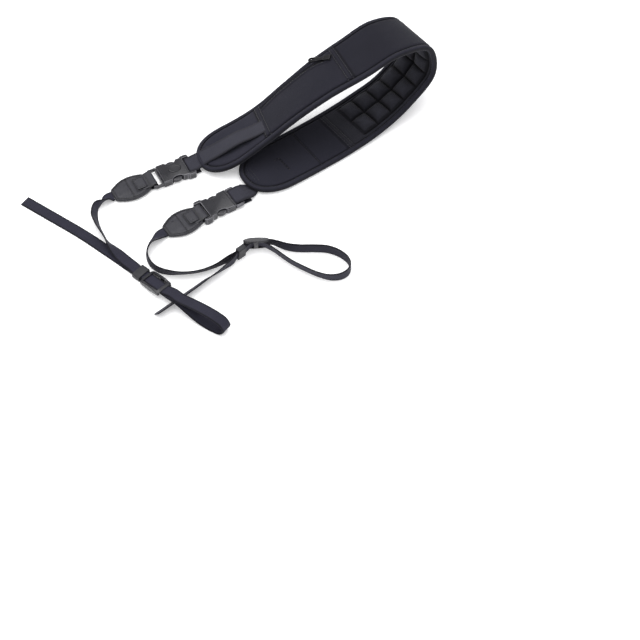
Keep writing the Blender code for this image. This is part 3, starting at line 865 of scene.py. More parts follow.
def makeBinding():
    spots, outward, stations, total = rimLine(bindingShape["step"])
    profile = np.array(mirrored(bindingShape["profile"]) + bindingShape["inside"])
    shades = bindingShape["shade"] + bindingShape["shade"][::-1]
    shades += [bindingShape["insideShade"]] * len(bindingShape["inside"])
    centre, half, extra = bindingShape["overWebbing"]
    within, beyond = bindingShape["overBlur"]
    crossing = 1 - ease(np.abs(spots[:, 1] - centre), half - within, half + beyond)
    crossing = extra * crossing * (spots[:, 0] < bindingShape["overTo"])
    ripple = bindingShape["ripple"] * np.sin(2 * np.pi * stations / bindingShape["ripplePitch"])
    wobble = np.sin(stations / 13.0) + 0.6 * np.sin(stations / 5.3 + 1.0)
    wobble *= bindingShape["wobble"]
    rings = []
    for inset, height in profile:
        raised = height * (1 + ripple * (inset > bindingShape["rippleFrom"]))
        raised += np.sign(height) * wobble * (abs(height) > 1) - crossing * (height < 0)
        plan = spots - outward * (inset + wobble)[:, None]
        rings.append(onPad(plan[:, 0], plan[:, 1], raised))
    run = np.cumsum(np.hypot(*np.diff(profile, axis=0).T))
    around = np.concatenate([[0], run, [bindingShape["insideRun"]]])
    tape = loftMesh(
        "bindingTape", np.stack(rings, axis=1), np.append(stations, total), around,
        np.tile(shades, len(spots)), looped=True,
    )
    finish(tape, [fabrics["bindingTape"]])


makeBinding()
print("binding ready")


# Stitches and the zip's coil: short beads that follow a line.
def runTree():
    tree, given = geometryTree("followLine", {
        "Pitch": 0.0032, "Size": (0.0024, 0.0005, 0.0004), "Sideways": 0.0, "Finish": None,
    })
    curve = put(tree, "GeometryNodeMeshToCurve", {"Mesh": given["Geometry"]})
    spaced = put(tree, "GeometryNodeResampleCurve", mode="LENGTH")
    tree.links.new(curve.outputs[0], spaced.inputs["Curve"])
    tree.links.new(given["Pitch"], spaced.inputs["Length"])
    tangent = put(tree, "GeometryNodeInputTangent").outputs[0]
    lift = readPoint(tree, "lift", "FLOAT_VECTOR")
    level = put(tree, "FunctionNodeAlignRotationToVector", {"Vector": tangent}, axis="X")
    turned = put(
        tree, "FunctionNodeAlignRotationToVector",
        {"Rotation": level.outputs[0], "Vector": lift}, axis="Z", pivot_axis="X",
    )
    index = put(tree, "GeometryNodeInputIndex").outputs[0]
    side = calc(tree, "MULTIPLY_ADD", calc(tree, "MODULO", index, 2.0), 2.0, -1.0)
    square = put(tree, "ShaderNodeVectorMath", {0: lift, 1: tangent}, operation="CROSS_PRODUCT")
    across = scaled(tree, square.outputs[0], times(tree, side, given["Sideways"]))
    bead = put(tree, "GeometryNodeMeshUVSphere", {"Segments": 8, "Rings": 5, "Radius": 0.5})
    placed = put(tree, "GeometryNodeInstanceOnPoints", {
        "Points": spaced.outputs[0], "Instance": bead.outputs["Mesh"],
        "Rotation": turned.outputs[0], "Scale": given["Size"],
    })
    moved = put(tree, "GeometryNodeTranslateInstances", {
        "Instances": placed.outputs[0], "Translation": across, "Local Space": False,
    })
    closeTree(tree, moved.outputs[0], given["Finish"])
    return tree


followLine = runTree()


# lines is a list of (points, ways up, closed).
def makeRun(name, lines, settings, mat):
    points, ups, edges = [], [], []
    for spots, ways, closed in lines:
        start = len(points)
        points += [tuple(p) for p in (np.asarray(spots) - middle) * mm]
        ups += [tuple(w) for w in ways]
        edges += [(start + k, start + k + 1) for k in range(len(spots) - 1)]
        if closed:
            edges.append((start + len(spots) - 1, start))
    mesh = bpy.data.meshes.new(name)
    mesh.from_pydata(points, edges, [])
    obj = addObject(name, mesh)
    pointValues(obj, "lift", ups)
    applyTree(obj, followLine, {
        "Pitch": settings["pitch"] * mm,
        "Size": tuple(s * mm for s in settings["size"]),
        "Sideways": settings.get("sideways", 0.0) * mm,
        "Finish": mat,
    })
    pointValues(obj, "shade", np.ones(len(obj.data.vertices)))
    finish(obj, [mat])


# A line over one face of the band, given as arc and shift.
def padLine(spots, outer, lift, closed=False, height=None):
    arc, shift = np.asarray(spots, float).T
    if height is None:
        height = outerHeight(arc, shift) if outer else innerHeight(arc, shift)
    way = -1 if outer else 1
    return onPad(arc, shift, way * (height + lift)), padFrame(arc)[3] * way, closed


# A straight row of stitches over one face, from one place to another.
def stitchRow(start, end, outer, lift, count=24):
    return padLine(np.linspace(start, end, count), outer, lift)


def crossRows(seams, outer):
    return [stitchRow((seam, -25.0), (seam, 25.0), outer, 0.3) for seam in seams]


padSewing = {
    "thread": {"pitch": 3.1, "size": (2.5, 0.62, 0.5)},
    "bindingInset": 4.05,
    "bindingHeight": 2.56,
    "webbingRows": (520.6, 524.0, 527.4),  # across the tip of lobe B, over its webbing
    "zipSide": 3.3,
    "coil": {"pitch": 0.72, "size": (0.66, 2.0, 1.1), "sideways": 0.72},
    "coilSpan": (81.5, 168.5),
}


def bindingStitches():
    spots, outward, _, _ = rimLine(bindingShape["step"])
    inset = spots - outward * padSewing["bindingInset"]
    height = np.full(len(inset), padSewing["bindingHeight"])
    lines = [padLine(inset, outer, 0.0, True, height) for outer in (True, False)]
    corner, arc = (tack["arc"], tack["shift"]), tack["arc"]
    lines.append(stitchRow((arc, -4.5), (arc, tack["top"]), False, 0.2))
    lines.append(stitchRow(corner, (tack["toe"], tack["shift"]), False, 0.2, 8))
    lines += crossRows((innerFace["seams"][0], innerFace["seams"][-1]), False)
    for arc in padSewing["webbingRows"]:
        lines.append(stitchRow((arc, -8.0), (arc + 0.6, 9.0), False, 0.1, 8))
    return lines


def hemStitches():
    lines = crossRows(outerFace["seams"], True) + crossRows(innerFace["seams"][1:-1], False)
    beside = zipPath[1:-1] + np.array([0, padSewing["zipSide"]])
    return lines + [padLine(beside, True, 0.12)]


def zipLine():
    arcs = np.linspace(*padSewing["coilSpan"], 90)
    return [padLine(np.stack([arcs, zipShift(arcs)], axis=1), True, 0.42)]


thread = padSewing["thread"]
makeRun("padStitches", bindingStitches(), thread, fabrics["sewingThread"])
makeRun("hemStitches", hemStitches(), thread, fabrics["hemThread"])
makeRun("zipCoil", zipLine(), padSewing["coil"], zipPaint)
print("stitches and zip ready")


# A strip's middle line: x, y, z, across, rise -> x, y, z and the way across it.
def stripRows(table):
    made = []
    for x, y, z, across, rise in table:
        a, r = math.radians(across), math.radians(rise)
        made.append((x, y, z, math.cos(r) * math.cos(a), math.cos(r) * math.sin(a), math.sin(r)))
    return made


# Rows at places (u, w) of a fitting, lying across it or turned over.
def rowsAt(place, spots, flip=1):
    side = axes(place)[2] * flip
    return [(*at(place, u, 0, w), *side) for u, w in spots]


def through(place, us, w, flip=1):
    return rowsAt(place, [(u, w) for u in us], flip)


webbing = {
    "wide": {"width": 20.0, "thick": 1.5, "rib": 1.3, "ribHeight": 0.10, "edgeDark": 0.5,
             "cloth": "wideWebbing"},
    "thin": {"width": 12.0, "thick": 1.1, "rib": 1.25, "ribHeight": 0.11, "edgeDark": 0.72,
             "cloth": "thinWebbing"},
    "section": [-0.97, -0.88, -0.66, -0.33, 0, 0.33, 0.66, 0.88, 0.97],  # shares of half the width
    "edgeThinning": 0.82,
    "edgeRound": 0.35,
}
strand = 0.75  # half the way between the two strands in a keeper or slider


# Ribs across a strip, apart from its woven edges.
def ribTree():
    tree, given = geometryTree("webbingRibs", {
        "Rib Pitch": 0.00125, "Rib Height": 0.0001, "Slant": 0.35, "Cloth": None,
    })
    along, across = readPoint(tree, "along"), readPoint(tree, "across")
    way = readPoint(tree, "faceWay", "FLOAT_VECTOR")
    reach = calc(tree, "ABSOLUTE", across)
    lean = calc(tree, "PINGPONG", times(tree, reach, 3.0), 1.0)
    turns = calc(tree, "ADD", calc(tree, "DIVIDE", along, given["Rib Pitch"]),
                 times(tree, lean, given["Slant"]))
    wave = calc(tree, "SINE", times(tree, turns, 2 * math.pi))
    size = times(tree, wave, calc(tree, "LESS_THAN", reach, 0.9), given["Rib Height"])
    closeTree(tree, push(tree, given["Geometry"], way, size), given["Cloth"])
    return tree


ribs = ribTree()


def stripLine(rows, step):
    rows = np.asarray(rows, float)
    span = np.linalg.norm(np.diff(rows[:, :3], axis=0), axis=1)
    along = np.concatenate([[0], np.cumsum(span)])
    count = max(2, int(round(along[-1] / step)) + 1)
    stations = np.linspace(0, along[-1], count)
    line = spline(np.column_stack([along, rows]), stations)
    ahead = unit(np.gradient(line[:, :3], stations, axis=0))
    side = squared(line[:, 3:], ahead)
    return stations, line[:, :3], side, np.cross(ahead, side)


# A section of (across, up) carried along a line.
def sweep(line, side, up, section):
    return line[:, None] + side[:, None] * section[None, :, :1] + up[:, None] * section[None, :, 1:]


def makeStrip(name, rows, kind, node):
    facts = webbing[kind]
    stations, line, side, up = stripLine(rows, facts["rib"] / 4)
    half, thick = facts["width"] / 2, facts["thick"] / 2
    thin, edge = webbing["edgeThinning"], thick * webbing["edgeRound"]
    face = [(half * s, -thick * (1 if abs(s) < 0.95 else thin)) for s in webbing["section"]]
    section = [*face, (half, -edge), (half, edge)]
    section = np.array(section + [(-v, -h) for v, h in section])
    steps = np.hypot(*(np.roll(section, -1, axis=0) - section).T)
    # Painted shade along both edges of the strip.
    dark = 1 - facts["edgeDark"] * ease(np.abs(section[:, 0]) / half, 0.7, 0.92)
    strip = loftMesh(name, sweep(line, side, up, section), stations,
                     np.append(0, np.cumsum(steps)), np.tile(dark, len(stations)))
    facing = np.sign(section[:, 1]) * (np.abs(section[:, 1]) > thick * 0.5)
    pointValues(strip, "along", np.repeat(stations * mm, len(section)))
    pointValues(strip, "across", np.tile(section[:, 0] / half, len(stations)))
    pointValues(strip, "faceWay", (up[:, None] * facing[None, :, None]).reshape(-1, 3))
    applyTree(strip, ribs, {
        "Rib Pitch": facts["rib"] * mm,
        "Rib Height": facts["ribHeight"] * mm,
        "Cloth": fabrics[facts["cloth"]],
    })
    finish(strip, [fabrics[facts["cloth"]]], [node])


buckle = {"barFrom": 42.0, "barHalf": 1.6, "armHalf": 2.0, "ringBar": 2.6, "length": 46.0}


# Wide webbing round a bar: it comes in above the bar from leave, and goes out below it
# as far as back.
def roundBar(place, near, far, half, leave, back):
    reach = gap + webbing["wide"]["thick"] / 2
    lift, sign = half + reach, 1 if near > far else -1
    turn = near + reach * sign
    over = [(near - 2.2 * sign, lift), (near - 0.6 * sign, lift),
            (turn - 0.35 * sign, lift * 0.82), (turn, lift * 0.38)]
    return rowsAt(place, [(leave, lift), *mirrored(over), (back, -lift)])


# The pull on lobe A: arc, shift, height outwards
handle = [
    (77.5, 8.6, 3.3), (73.5, 8.6, 3.9), (66.0, 8.2, 5.0), (58.0, 7.2, 6.2), (48.0, 5.4, 7.6),
    (38.0, 4.4, 7.8), (28.0, 3.4, 6.8), (18.0, 2.2, 5.3), (10.5, 1.4, 4.4), (6.4, 1.1, 3.5),
    (3.0, 0.9, 2.75), (-0.6, 0.8, 2.5),
]


def handleRows():
    rows = []
    for arc, shift, height in handle:
        spot, _, side, inward = (v[0] for v in padFrame(arc))
        rows.append((*(spot + side * shift - inward * height), *-side))
    return rows + roundBar(
        "buckleA", buckle["barFrom"], buckle["length"], buckle["barHalf"], 47.0, 52.0
    )


def lobeRows():
    rows = stripRows([
        (41.0, 178.0, 0.9, 312, 0), (37.4, 173.6, 1.8, 302, 0), (33.4, 170.6, 4.2, 281, 0),
        (29.8, 169.7, 6.5, 267, 0),
    ])
    return rows + roundBar("buckleB", buckle["ringBar"] + 4.2, 0.0, buckle["armHalf"], -3.5, -9.0)


def strapRowsA():
    tip = 40.8 + gap
    rows = rowsAt("tabA", [(tip, 0), (tip + 3, 0.2)])
    rows += stripRows([
        (-90.0, 242.4, 5.7, 276, 58), (-99.8, 241.0, 6.6, 122, 76), (-107.4, 232.8, 6.3, 150, 60),
        (-111.4, 221.8, 6.4, 168, 64), (-113.6, 209.6, 6.6, 176, 69), (-114.8, 199.0, 6.2, 182, 70),
        (-114.6, 189.0, 4.4, 188, 38), (-113.4, 179.0, 2.6, 192, 10), (-112.0, 168.0, 2.4, 193, 0),
        (-110.2, 156.6, 3.0, 193, 0),
    ])
    rows += through("keeperA", (-5.5, 0, 5.5), strand, -1)
    rows += through("sliderA", (-13.5, -6, 0, 6, 13.5), strand, -1)
    rows += stripRows([
        (-100.2, 103.0, 11.0, 192, 0), (-98.6, 92.0, 13.2, 195, 0), (-94.4, 77.6, 16.4, 197, 0),
        (-90.0, 63.0, 19.0, 198, 0), (-85.4, 50.6, 18.2, 198, 0), (-81.8, 43.0, 14.0, 198, 0),
        (-81.0, 39.4, 7.4, 198, 0), (-82.8, 42.6, 2.6, 198, 0), (-86.6, 51.0, 1.0, 198, 0),
        (-91.6, 64.0, 2.2, 196, 0), (-96.6, 79.0, 7.4, 193, 0), (-100.0, 92.0, 10.8, 191, 0),
        (-102.2, 103.0, 9.4, 190, 0),
    ])
    rows += through("sliderA", (13.5, 6, 0, -6, -13.5), -strand, -1)
    rows += through("keeperA", (5.5, 0, -5.5), -strand, -1)
    return rows + stripRows([
        (-111.2, 157.0, 1.4, 193, 0), (-114.4, 171.0, 0.65, 194, 0), (-119.6, 191.0, 0.6, 195, 0),
        (-127.8, 221.2, 0.6, 197, 0), (-139.8, 257.0, 0.6, 198, 0), (-152.2, 293.1, 0.6, 199, 0),
    ])


def strapRowsB():
    tip = 38.8 + gap
    rows = rowsAt("tabB", [(tip, 0), (tip + 3, 0.2)])
    rows += stripRows([
        (-73.0, 172.6, 4.6, -85, 30), (-82.0, 169.8, 6.2, -70, 60), (-91.4, 161.6, 6.8, -40, 82),
        (-95.8, 149.9, 6.6, -5, 90), (-94.3, 138.7, 6.5, 20, 97), (-88.1, 129.6, 6.3, 40, 104),
        (-78.3, 121.4, 6.0, 52, 115), (-63.1, 113.2, 5.9, 62, 117), (-46.5, 109.2, 6.2, 78, 110),
        (-31.0, 108.2, 7.2, 90, 96),
    ])
    rows += through("keeperB", (-5.5, 0, 5.5), -strand)
    rows += through("sliderB", (-3, 0, 3, 8, 13.5), strand, -1)
    rows += stripRows([
        (15.4, 98.6, 8.0, 50, 102), (18.6, 94.4, 7.2, 45, 96), (22.6, 88.6, 6.6, 45, 92),
        (27.4, 83.2, 6.3, 50, 90), (33.0, 78.2, 6.3, 50, 90), (44.3, 70.0, 6.3, 50, 90),
        (54.4, 60.9, 6.5, 50, 90), (60.6, 49.4, 6.5, 50, 90), (62.1, 38.7, 6.5, 30, 90),
        (59.6, 31.4, 6.5, 10, 90), (53.0, 26.8, 6.5, 205, 88), (45.0, 26.8, 6.5, 205, 84),
        (37.0, 30.8, 6.4, 205, 80), (28.6, 41.2, 6.3, 205, 76), (22.7, 53.3, 6.3, 204, 76),
        (17.2, 66.7, 6.3, 199, 76), (14.6, 75.5, 6.4, 194, 77), (12.7, 83.5, 6.6, 194, 77),
        (11.0, 90.2, 7.0, 200, 76),
    ])
    rows += rowsAt("sliderB", ((13.4, -5.4), (8.4, -2.3), (4.6, -1.0)), -1)
    rows += through("sliderB", (0, -3), -strand, -1)
    rows += through("keeperB", (5.5, 0, -5.5), strand)
    return rows + stripRows([
        (-27.0, 104.4, 7.0, 276, 84), (-39.2, 102.4, 6.3, 276, 74), (-50.9, 101.2, 5.9, 276, 62),
        (-62.6, 101.0, 5.2, 276, 52), (-75.0, 99.6, 4.95, 276, 49), (-88.0, 98.2, 4.9, 276, 48),
        (-105.4, 96.4, 4.9, 276, 48), (-124.4, 94.6, 4.9, 276, 48),
    ])


makeStrip("webbingA", handleRows(), "wide", "webbing_a")
makeStrip("webbingB", lobeRows(), "wide", "webbing_b")
makeStrip("strapA", strapRowsA(), "thin", "strap_a")
makeStrip("strapB", strapRowsB(), "thin", "strap_b")
print("webbing ready")


tabShape = {
    "outline": [  # distance along the tab, half width
        (0.9, 9.4), (1.6, 10.6), (6, 12.6), (12, 14.2), (18, 14.8), (24, 14.2), (30, 12.2),
        (35, 9.4), (38.2, 7.6), (38.8, 6.6),
    ],
    "height": [  # distance from the edge, height over the middle
        (0, 0.95), (0.35, 1.55), (0.9, 1.85), (1.4, 1.8), (1.8, 1.25), (2.2, 1.25), (2.7, 1.85),
        (3.6, 2.0),
    ],
    # shade by distance from the edge: darker at the edge, painted shade in the stitch groove
    "shade": [(0, 0.55), (0.6, 0.85), (1.3, 0.8), (1.8, 0.4), (2.4, 0.75), (3.0, 1.0)],
    "firstStations": [0.9, 1.0, 1.2, 1.5],
    "lastStations": [38.1, 38.4, 38.6, 38.8],
    "rimColumns": [1.0, 0.985, 0.96, 0.93, 0.9, 0.87, 0.84, 0.8, 0.75],  # shares of half the width
    "strapSwell": 0.35,
    "stitchIn": 1.9,
    "crossSeam": 20.5,
    "crossDepth": 0.55,
    "patch": (3.0, 14.2, 7.4),  # from, to, half width of the folded strip
    "patchDepth": 0.5,
    "wrapWidth": 19.2,
    "wrapThick": 1.4,
    "patchThick": 1.3,
    "thread": {"pitch": 2.3, "size": (1.8, 0.5, 0.42)},
}


def tabOutline():
    outline = np.array(tabShape["outline"])
    fine = np.linspace(outline[0, 0], outline[-1, 0], 120)
    half = np.interp(fine, *outline.T)
    for _ in range(8):
        half[1:-1] = (half[:-2] + 2 * half[1:-1] + half[2:]) / 4
    return fine, half


# A sunk line round the folded strip that is sewn on the tab.
def patchRim(u, v):
    _, last, wide = tabShape["patch"]
    end = groove(u, last + 0.9, 0.6) * (np.abs(v) < wide + 1.2)
    sides = groove(np.abs(v), wide + 0.9, 0.6) * (u < last + 1.2)
    return np.maximum(end, sides)


def tabTop(u, v, distance):
    height = np.interp(distance, *np.array(tabShape["height"]).T)
    strap = ease(u, 17, 27) * (1 - ease(np.abs(v), 4.6, 7.0))
    height += tabShape["strapSwell"] * strap * ease(distance, 1.9, 3.5)
    seam = groove(u, tabShape["crossSeam"], 0.65) * ease(distance, 1.5, 2.5)
    return height - tabShape["crossDepth"] * seam - tabShape["patchDepth"] * patchRim(u, v)


# Painted shade in the cross seam and the sunk line round the folded strip, on top of the shade by
# distance from the edge.
def tabShade(u, v, distance):
    shade = np.interp(distance, *np.array(tabShape["shade"]).T)
    shade *= 1 - 0.5 * groove(u, tabShape["crossSeam"], 0.7)
    return shade * (1 - 0.6 * patchRim(u, v))


def makeTab(name, start, node):
    fine, half = tabOutline()
    ends = [np.stack([np.full(20, fine[k]), np.linspace(0, half[k], 20)], axis=1) for k in (0, -1)]
    edge = np.concatenate([np.stack([fine, half], axis=1), *ends])
    stations = np.unique(np.round(np.concatenate([
        tabShape["firstStations"], np.arange(1.9, 38.0, 0.7), tabShape["lastStations"],
    ]), 3))
    columns = np.append(tabShape["rimColumns"], np.linspace(0.68, 0, 9))
    shares = np.concatenate([columns, -columns[-2::-1]])
    halfAt = np.interp(stations, fine, half)
    u = np.repeat(stations, len(shares)).reshape(len(stations), -1)
    v = halfAt[:, None] * shares[None]
    distance = nearest(np.stack([u.ravel(), np.abs(v).ravel()], axis=1), edge).reshape(u.shape)
    top, shade = tabTop(u, v, distance), tabShade(u, v, distance)
    ringU = np.concatenate([u, u], axis=1) + start
    ringV = np.concatenate([v, v[:, ::-1]], axis=1)
    ringW = np.concatenate([top, -top[:, ::-1]], axis=1)
    around = np.append(ringV[len(stations) // 2], halfAt.max())
    shade = np.concatenate([shade, shade[:, ::-1]], axis=1)
    tab = loftMesh(name, at(name, ringU, ringV, ringW), stations, around, shade)
    finish(tab, [grainLeather], [node])
    return fine, half


# A leather strip round a bar, given as distance along the fitting and height, with painted shade
# along its edges and in the crease beside the bar.
def makeWrap(name, place, spots, width, thick, crease=None):
    stations, line, side, up = stripLine(rowsAt(place, spots), 0.6)
    dark = np.ones(len(stations))
    if crease is not None:
        origin, along = axes(place)[:2]
        dark -= 0.6 * groove((line - origin) @ along, crease, 1.3)
    half, t = width / 2, thick / 2
    insets = [-half, -half + 0.25, -half + 1.6, 0, half - 1.6, half - 0.25, half]
    section = np.array(mirrored([(v, -t * (0.5 if abs(v) == half else 1)) for v in insets]))
    edge = 1 - 0.45 * (np.abs(section[:, 0]) > half - 0.3)
    strip = loftMesh(name, sweep(line, side, up, section), stations,
                     np.append(section[:, 0], half), dark[:, None] * edge[None])
    finish(strip, [grainLeather])


# The fold round the buckle's bar, and the folded strip on top.
def tabWraps(name, near, half, start):
    skin = half + gap + 0.85
    turn = near - gap - 1.05
    low, crease = 1.5, 2.6 + start / 2
    loop = [(9.5 + start, low), (6.0 + start, low + 0.2), (crease, low + 0.5), (0.6, skin - 0.25),
            (near + 0.4, skin), (turn + 0.35, skin * 0.82), (turn, skin * 0.38)]
    makeWrap(f"{name}Wrap", name, mirrored(loop), tabShape["wrapWidth"], tabShape["wrapThick"],
             crease)
    first, last, wide = tabShape["patch"]
    over = [(first + 0.8, 2.1), (first + 1.8, 2.6), (first + 5, 2.75), (last - 1, 2.65),
            (last, 2.55)]
    over = [(u + start, w) for u, w in over]
    makeWrap(f"{name}Patch", name, over, 2 * wide, tabShape["patchThick"])


def tabStitches(name, start, fine, half):
    tangent = unit(np.stack([np.gradient(fine), np.gradient(half)], axis=1))
    outward = np.stack([-tangent[:, 1], tangent[:, 0]], axis=1)
    inset = np.stack([fine, half], axis=1) - outward * tabShape["stitchIn"]
    u, v = inset[(inset[:, 0] > 3.5) & (inset[:, 0] < 37.2)].T
    seam = tabShape["crossSeam"]
    width = float(np.interp(seam, fine, half)) - 2.4
    across = np.linspace(-width, width, 16)
    lines = []
    for face in (1, -1):
        lines += [(u, v * way, np.full(len(u), 1.6 * face)) for way in (1, -1)]
        lines.append((np.full(16, seam), across, np.full(16, 1.68 * face)))
    first, last, wide = tabShape["patch"]
    corners = np.array([(first + 3.6, -1), (last - 1.6, -1), (last - 1.6, 1), (first + 3.6, 1)])
    corners[:, 1] *= wide - 1.6
    u, v = np.concatenate([np.linspace(*corners[k : k + 2], 12) for k in range(3)]).T
    lines.append((u, v, np.full(len(u), 3.4)))
    up = axes(name)[3]
    return [(at(name, u + start, v, w), np.sign(w)[:, None] * up, False) for u, v, w in lines]


stitchRows = []
for name, near, half, start, node in (
    ("tabA", -buckle["ringBar"], buckle["armHalf"], 2.0, "tab_a"),
    ("tabB", buckle["barFrom"] - buckle["length"], buckle["barHalf"], 0.0, "tab_b"),
):
    outline = makeTab(name, start, node)
    tabWraps(name, near, half, start)
    stitchRows += tabStitches(name, start, *outline)
makeRun("tabStitches", stitchRows, tabShape["thread"], fabrics["sewingThread"])
print("leather ready")


# Moulded fittings are the imported solids with eased edges: each node's piece, the
# width of its edges, and the materials of its faces and of those edges. On the plastics
# and the zip pull the edges' material is a lighter, glossier plastic: painted highlight.
fittings = {
    "buckle_a_female": ("buckleAShell", 0.6, satinPlastic, paintedHighlightPlastic, "plastic"),
    "buckle_a_male": ("buckleAPlug", 0.8, satinPlastic, paintedHighlightPlastic, "plastic"),
    "buckle_b_female": ("buckleBShell", 0.6, satinPlastic, paintedHighlightPlastic, "plastic"),
    "buckle_b_male": ("buckleBPlug", 0.8, satinPlastic, paintedHighlightPlastic, "plastic"),
    "slider_a": ("sliderA", 0.6, satinPlastic, paintedHighlightPlastic, "plastic"),
    "slider_b": ("sliderB", 0.6, satinPlastic, paintedHighlightPlastic, "plastic"),
    "zip_pull": ("zipPull", 0.18, zipPaint, paintedHighlightPlastic, "plastic"),
    "keeper_a": ("keeperA", 0.4, rubberLeather, rubberLeather, "leather"),
    "keeper_b": ("keeperB", 0.4, rubberLeather, rubberLeather, "leather"),
}
easing = {"segments": 3, "fromAngle": 28, "sharpAngle": 42, "flatAngle": 2}
sliderShape = {
    "half": 12.5, "bars": 6.75, "thinning": 0.62, "endThinning": 0.3, "cutOver": 8.0, "cuts": 7,
    "crown": {"sliderA": 0.25, "sliderB": -0.25},
    "stretch": {"sliderA": (0.12, 0.1), "sliderB": (0.0, 0.0)},  # along the strap, across it
}


# A slider's side rails are crowned at the middle and thin to rounded ends.
def crownSlider(bm, name):
    spot, along, side, up = axes(name)
    crown = sliderShape["crown"][name]
    longer, wider = sliderShape["stretch"][name]
    origin = Vector((spot - middle) * mm)
    along, side, up = Vector(along), Vector(side), Vector(up)
    longEdges = [e for e in bm.edges if e.calc_length() > sliderShape["cutOver"] * mm]
    bmesh.ops.subdivide_edges(bm, edges=longEdges, cuts=sliderShape["cuts"], use_grid_fill=True)
    for vert in bm.verts:
        place = vert.co - origin
        u = abs(place.dot(along)) / (sliderShape["half"] * mm)
        w = place.dot(up)
        if abs(place.dot(side)) > sliderShape["bars"] * mm:
            grow = crown if w > 0 or crown < 0 else 0.0
            vert.co += up * w * (grow - (sliderShape["thinning"] + grow) * min(u, 1.05) ** 1.8)
        else:
            vert.co -= up * w * sliderShape["endThinning"] * u**1.6
        vert.co += along * place.dot(along) * longer + side * place.dot(side) * wider


# The new faces along the eased edges take edgeMat; on the plastics it is a lighter, glossier
# plastic, a painted highlight.
def easedCopy(node, name, width, mat, edgeMat, slot):
    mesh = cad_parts[node].data.copy()
    mesh.name = name
    mesh.materials.clear()
    mesh.materials.append(mat)
    mesh.materials.append(edgeMat)
    bm = bmesh.new()
    bm.from_mesh(mesh)
    bmesh.ops.remove_doubles(bm, verts=bm.verts, dist=2e-5)
    if name.startswith("slider"):
        crownSlider(bm, name)
    bmesh.ops.dissolve_limit(
        bm, angle_limit=math.radians(easing["flatAngle"]), verts=bm.verts, edges=bm.edges,
        use_dissolve_boundaries=False,
    )
    bm.to_mesh(mesh)
    bm.free()
    obj = addObject(name, mesh)
    bevel = obj.modifiers.new("ease", "BEVEL")
    bevel.width = width * mm
    bevel.segments = easing["segments"]
    bevel.material = 1
    bevel.limit_method = "ANGLE"
    bevel.angle_limit = math.radians(easing["fromAngle"])
    bevel.use_clamp_overlap = not name.endswith("Shell")  # short edges would clamp a shell to none
    made = applyModifiers(obj)
    made.set_sharp_from_angle(angle=math.radians(easing["sharpAngle"]))
    pointValues(obj, "shade", np.ones(len(made.vertices)))
    kinds = np.zeros(len(made.polygons), dtype=np.int32)
    made.polygons.foreach_get("material_index", kinds)
    finish(obj, [mat, edgeMat], [node])
    made.polygons.foreach_set("material_index", kinds)


for node, facts in fittings.items():
    easedCopy(node, *facts)

# A raised plain oval on the shell of buckle A; its layers' shade is painted shade at its foot and
# painted highlight on its rim.
oval = {
    "centre": (27.3, 0.8), "long": 6.8, "wide": 4.9, "base": 3.9, "rise": 1.6, "points": 56,
    "layers": [  # share of its size, share of its rise, shade
        (1.0, -0.3, 0.3), (1.0, 0.15, 0.35), (0.95, 0.36, 0.8), (0.86, 0.5, 1.1),
        (0.74, 0.42, 0.75), (0.5, 0.4, 0.95), (0.2, 0.4, 1.0), (0.02, 0.4, 1.0),
    ],
}
# Rounded rails either side of the ring that the lower webbing is sewn round, all in the lighter
# plastic: a painted highlight.
rail = {"from": 1.0, "to": 9.9, "out": 11.75, "rise": 0.9, "radius": 1.75, "points": 20}


def makeOval():
    turn = np.linspace(0, 2 * math.pi, oval["points"], endpoint=False)
    across, over = oval["centre"]
    rings = [
        at("buckleA", across + np.cos(turn) * oval["long"] * share,
           over + np.sin(turn) * oval["wide"] * share, oval["base"] + rise * oval["rise"])
        for share, rise, _ in oval["layers"]
    ]
    shade = np.repeat([layer[2] for layer in oval["layers"]], oval["points"])
    around = np.linspace(0, 36, oval["points"] + 1)
    made = loftMesh("buckleAOval", rings, np.arange(len(rings)), around, shade)
    finish(made, [satinPlastic])


def makeRingRails():
    turn = np.linspace(0, 2 * math.pi, rail["points"], endpoint=False)
    steps = np.linspace(-1, 1, 25)
    swell = np.sqrt(np.clip(1 - steps**6, 0.01, 1)) * rail["radius"]
    length = rail["to"] - rail["from"]
    along = rail["from"] + (steps + 1) / 2 * length
    around = np.linspace(0, 2 * math.pi * rail["radius"], rail["points"] + 1)
    for way, name in ((1, "ringRailNear"), (-1, "ringRailFar")):
        rings = [
            at("buckleB", u, way * (rail["out"] + np.cos(turn) * radius),
               rail["rise"] + np.sin(turn) * radius)
            for u, radius in zip(along, swell)
        ]
        shade = np.ones(len(steps) * rail["points"])
        finish(loftMesh(name, rings, steps * length / 2, around, shade), [paintedHighlightPlastic])


makeOval()
makeRingRails()
print("fittings ready")


floorLook = {"half": 6.0, "colour": (0.93, 0.93, 0.94, 1), "rough": 0.9, "specular": 0.1,
             "glow": 0.26}  # a lit table: shadows stay faint
# place, size, power
lights = {
    "softTop": ((-0.2, 0.9, 1.9), 1.4, 7.0),
    "leftFill": ((-1.8, -0.2, 1.3), 1.2, 3.0),
    "frontFill": ((0.4, -1.6, 1.4), 1.6, 1.5),
}
view = {
    "place": (-0.7159, -1.0725, 1.5293), "aim": (-0.0532, -0.1603, 0.0), "lens": 111.68,
    "sky": (0.78, 0.95, 0.7, 3.2),  # rise from, to; brightness round the sides, overhead
}


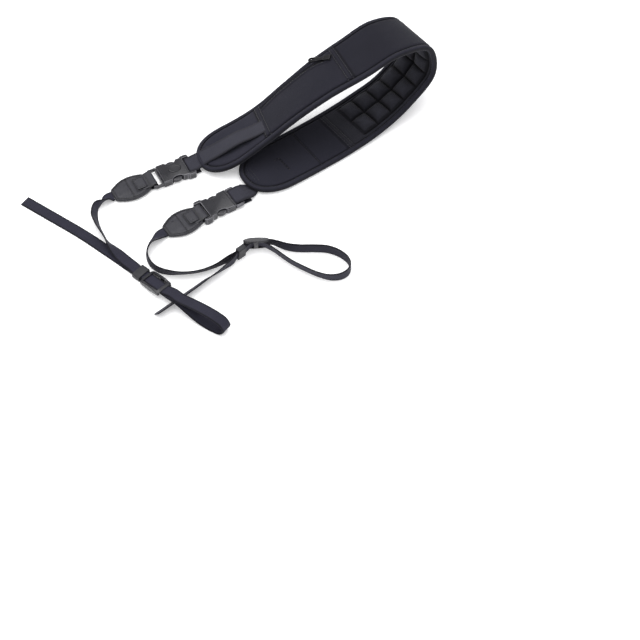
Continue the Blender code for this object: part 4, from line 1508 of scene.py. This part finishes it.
def makeFloor():
    mesh = bpy.data.meshes.new("floor")
    size = floorLook["half"]
    corners = [(-size, -size, 0), (size, -size, 0), (size, size, 0), (-size, size, 0)]
    mesh.from_pydata(corners, [], [(0, 1, 2, 3)])
    mat = bpy.data.materials.new("paleFloor")
    mat.use_nodes = True
    shader = mat.node_tree.nodes["Principled BSDF"]
    shader.inputs["Base Color"].default_value = floorLook["colour"]
    shader.inputs["Roughness"].default_value = floorLook["rough"]
    shader.inputs["Specular IOR Level"].default_value = floorLook["specular"]
    shader.inputs["Emission Color"].default_value = (1, 1, 1, 1)
    shader.inputs["Emission Strength"].default_value = floorLook["glow"]
    mesh.materials.append(mat)
    addObject("floor", mesh)


def areaLight(name, place, size, power):
    data = bpy.data.lights.new(name, "AREA")
    data.shape = "DISK"
    data.size = size
    data.energy = power
    lamp = addObject(name, data)
    lamp.location = place
    lamp.rotation_euler = (-Vector(place)).to_track_quat("-Z", "Y").to_euler()


def makeView():
    scene = bpy.context.scene
    world = bpy.data.worlds.new("studio")
    world.use_nodes = True
    tree = world.node_tree
    way = put(tree, "ShaderNodeTexCoord").outputs["Generated"]
    rise = put(tree, "ShaderNodeSeparateXYZ", {"Vector": way}).outputs["Z"]
    steps = dict(zip(("From Min", "From Max", "To Min", "To Max"), view["sky"]))
    strength = put(tree, "ShaderNodeMapRange", {"Value": rise, **steps},
                   interpolation_type="SMOOTHSTEP")
    tree.links.new(strength.outputs["Result"], tree.nodes["Background"].inputs["Strength"])
    tree.nodes["Background"].inputs["Color"].default_value = (1, 1, 1, 1)
    scene.world = world
    scene.view_settings.view_transform = "Standard"
    for name, facts in lights.items():
        areaLight(name, *facts)
    data = bpy.data.cameras.new("camera")
    data.lens = view["lens"]
    data.sensor_width = 36.0
    camera = addObject("camera", data)
    camera.location = view["place"]
    look = Vector(view["aim"]) - Vector(view["place"])
    camera.rotation_euler = look.to_track_quat("-Z", "Y").to_euler()
    scene.camera = camera


makeFloor()
makeView()

print("scene ready")
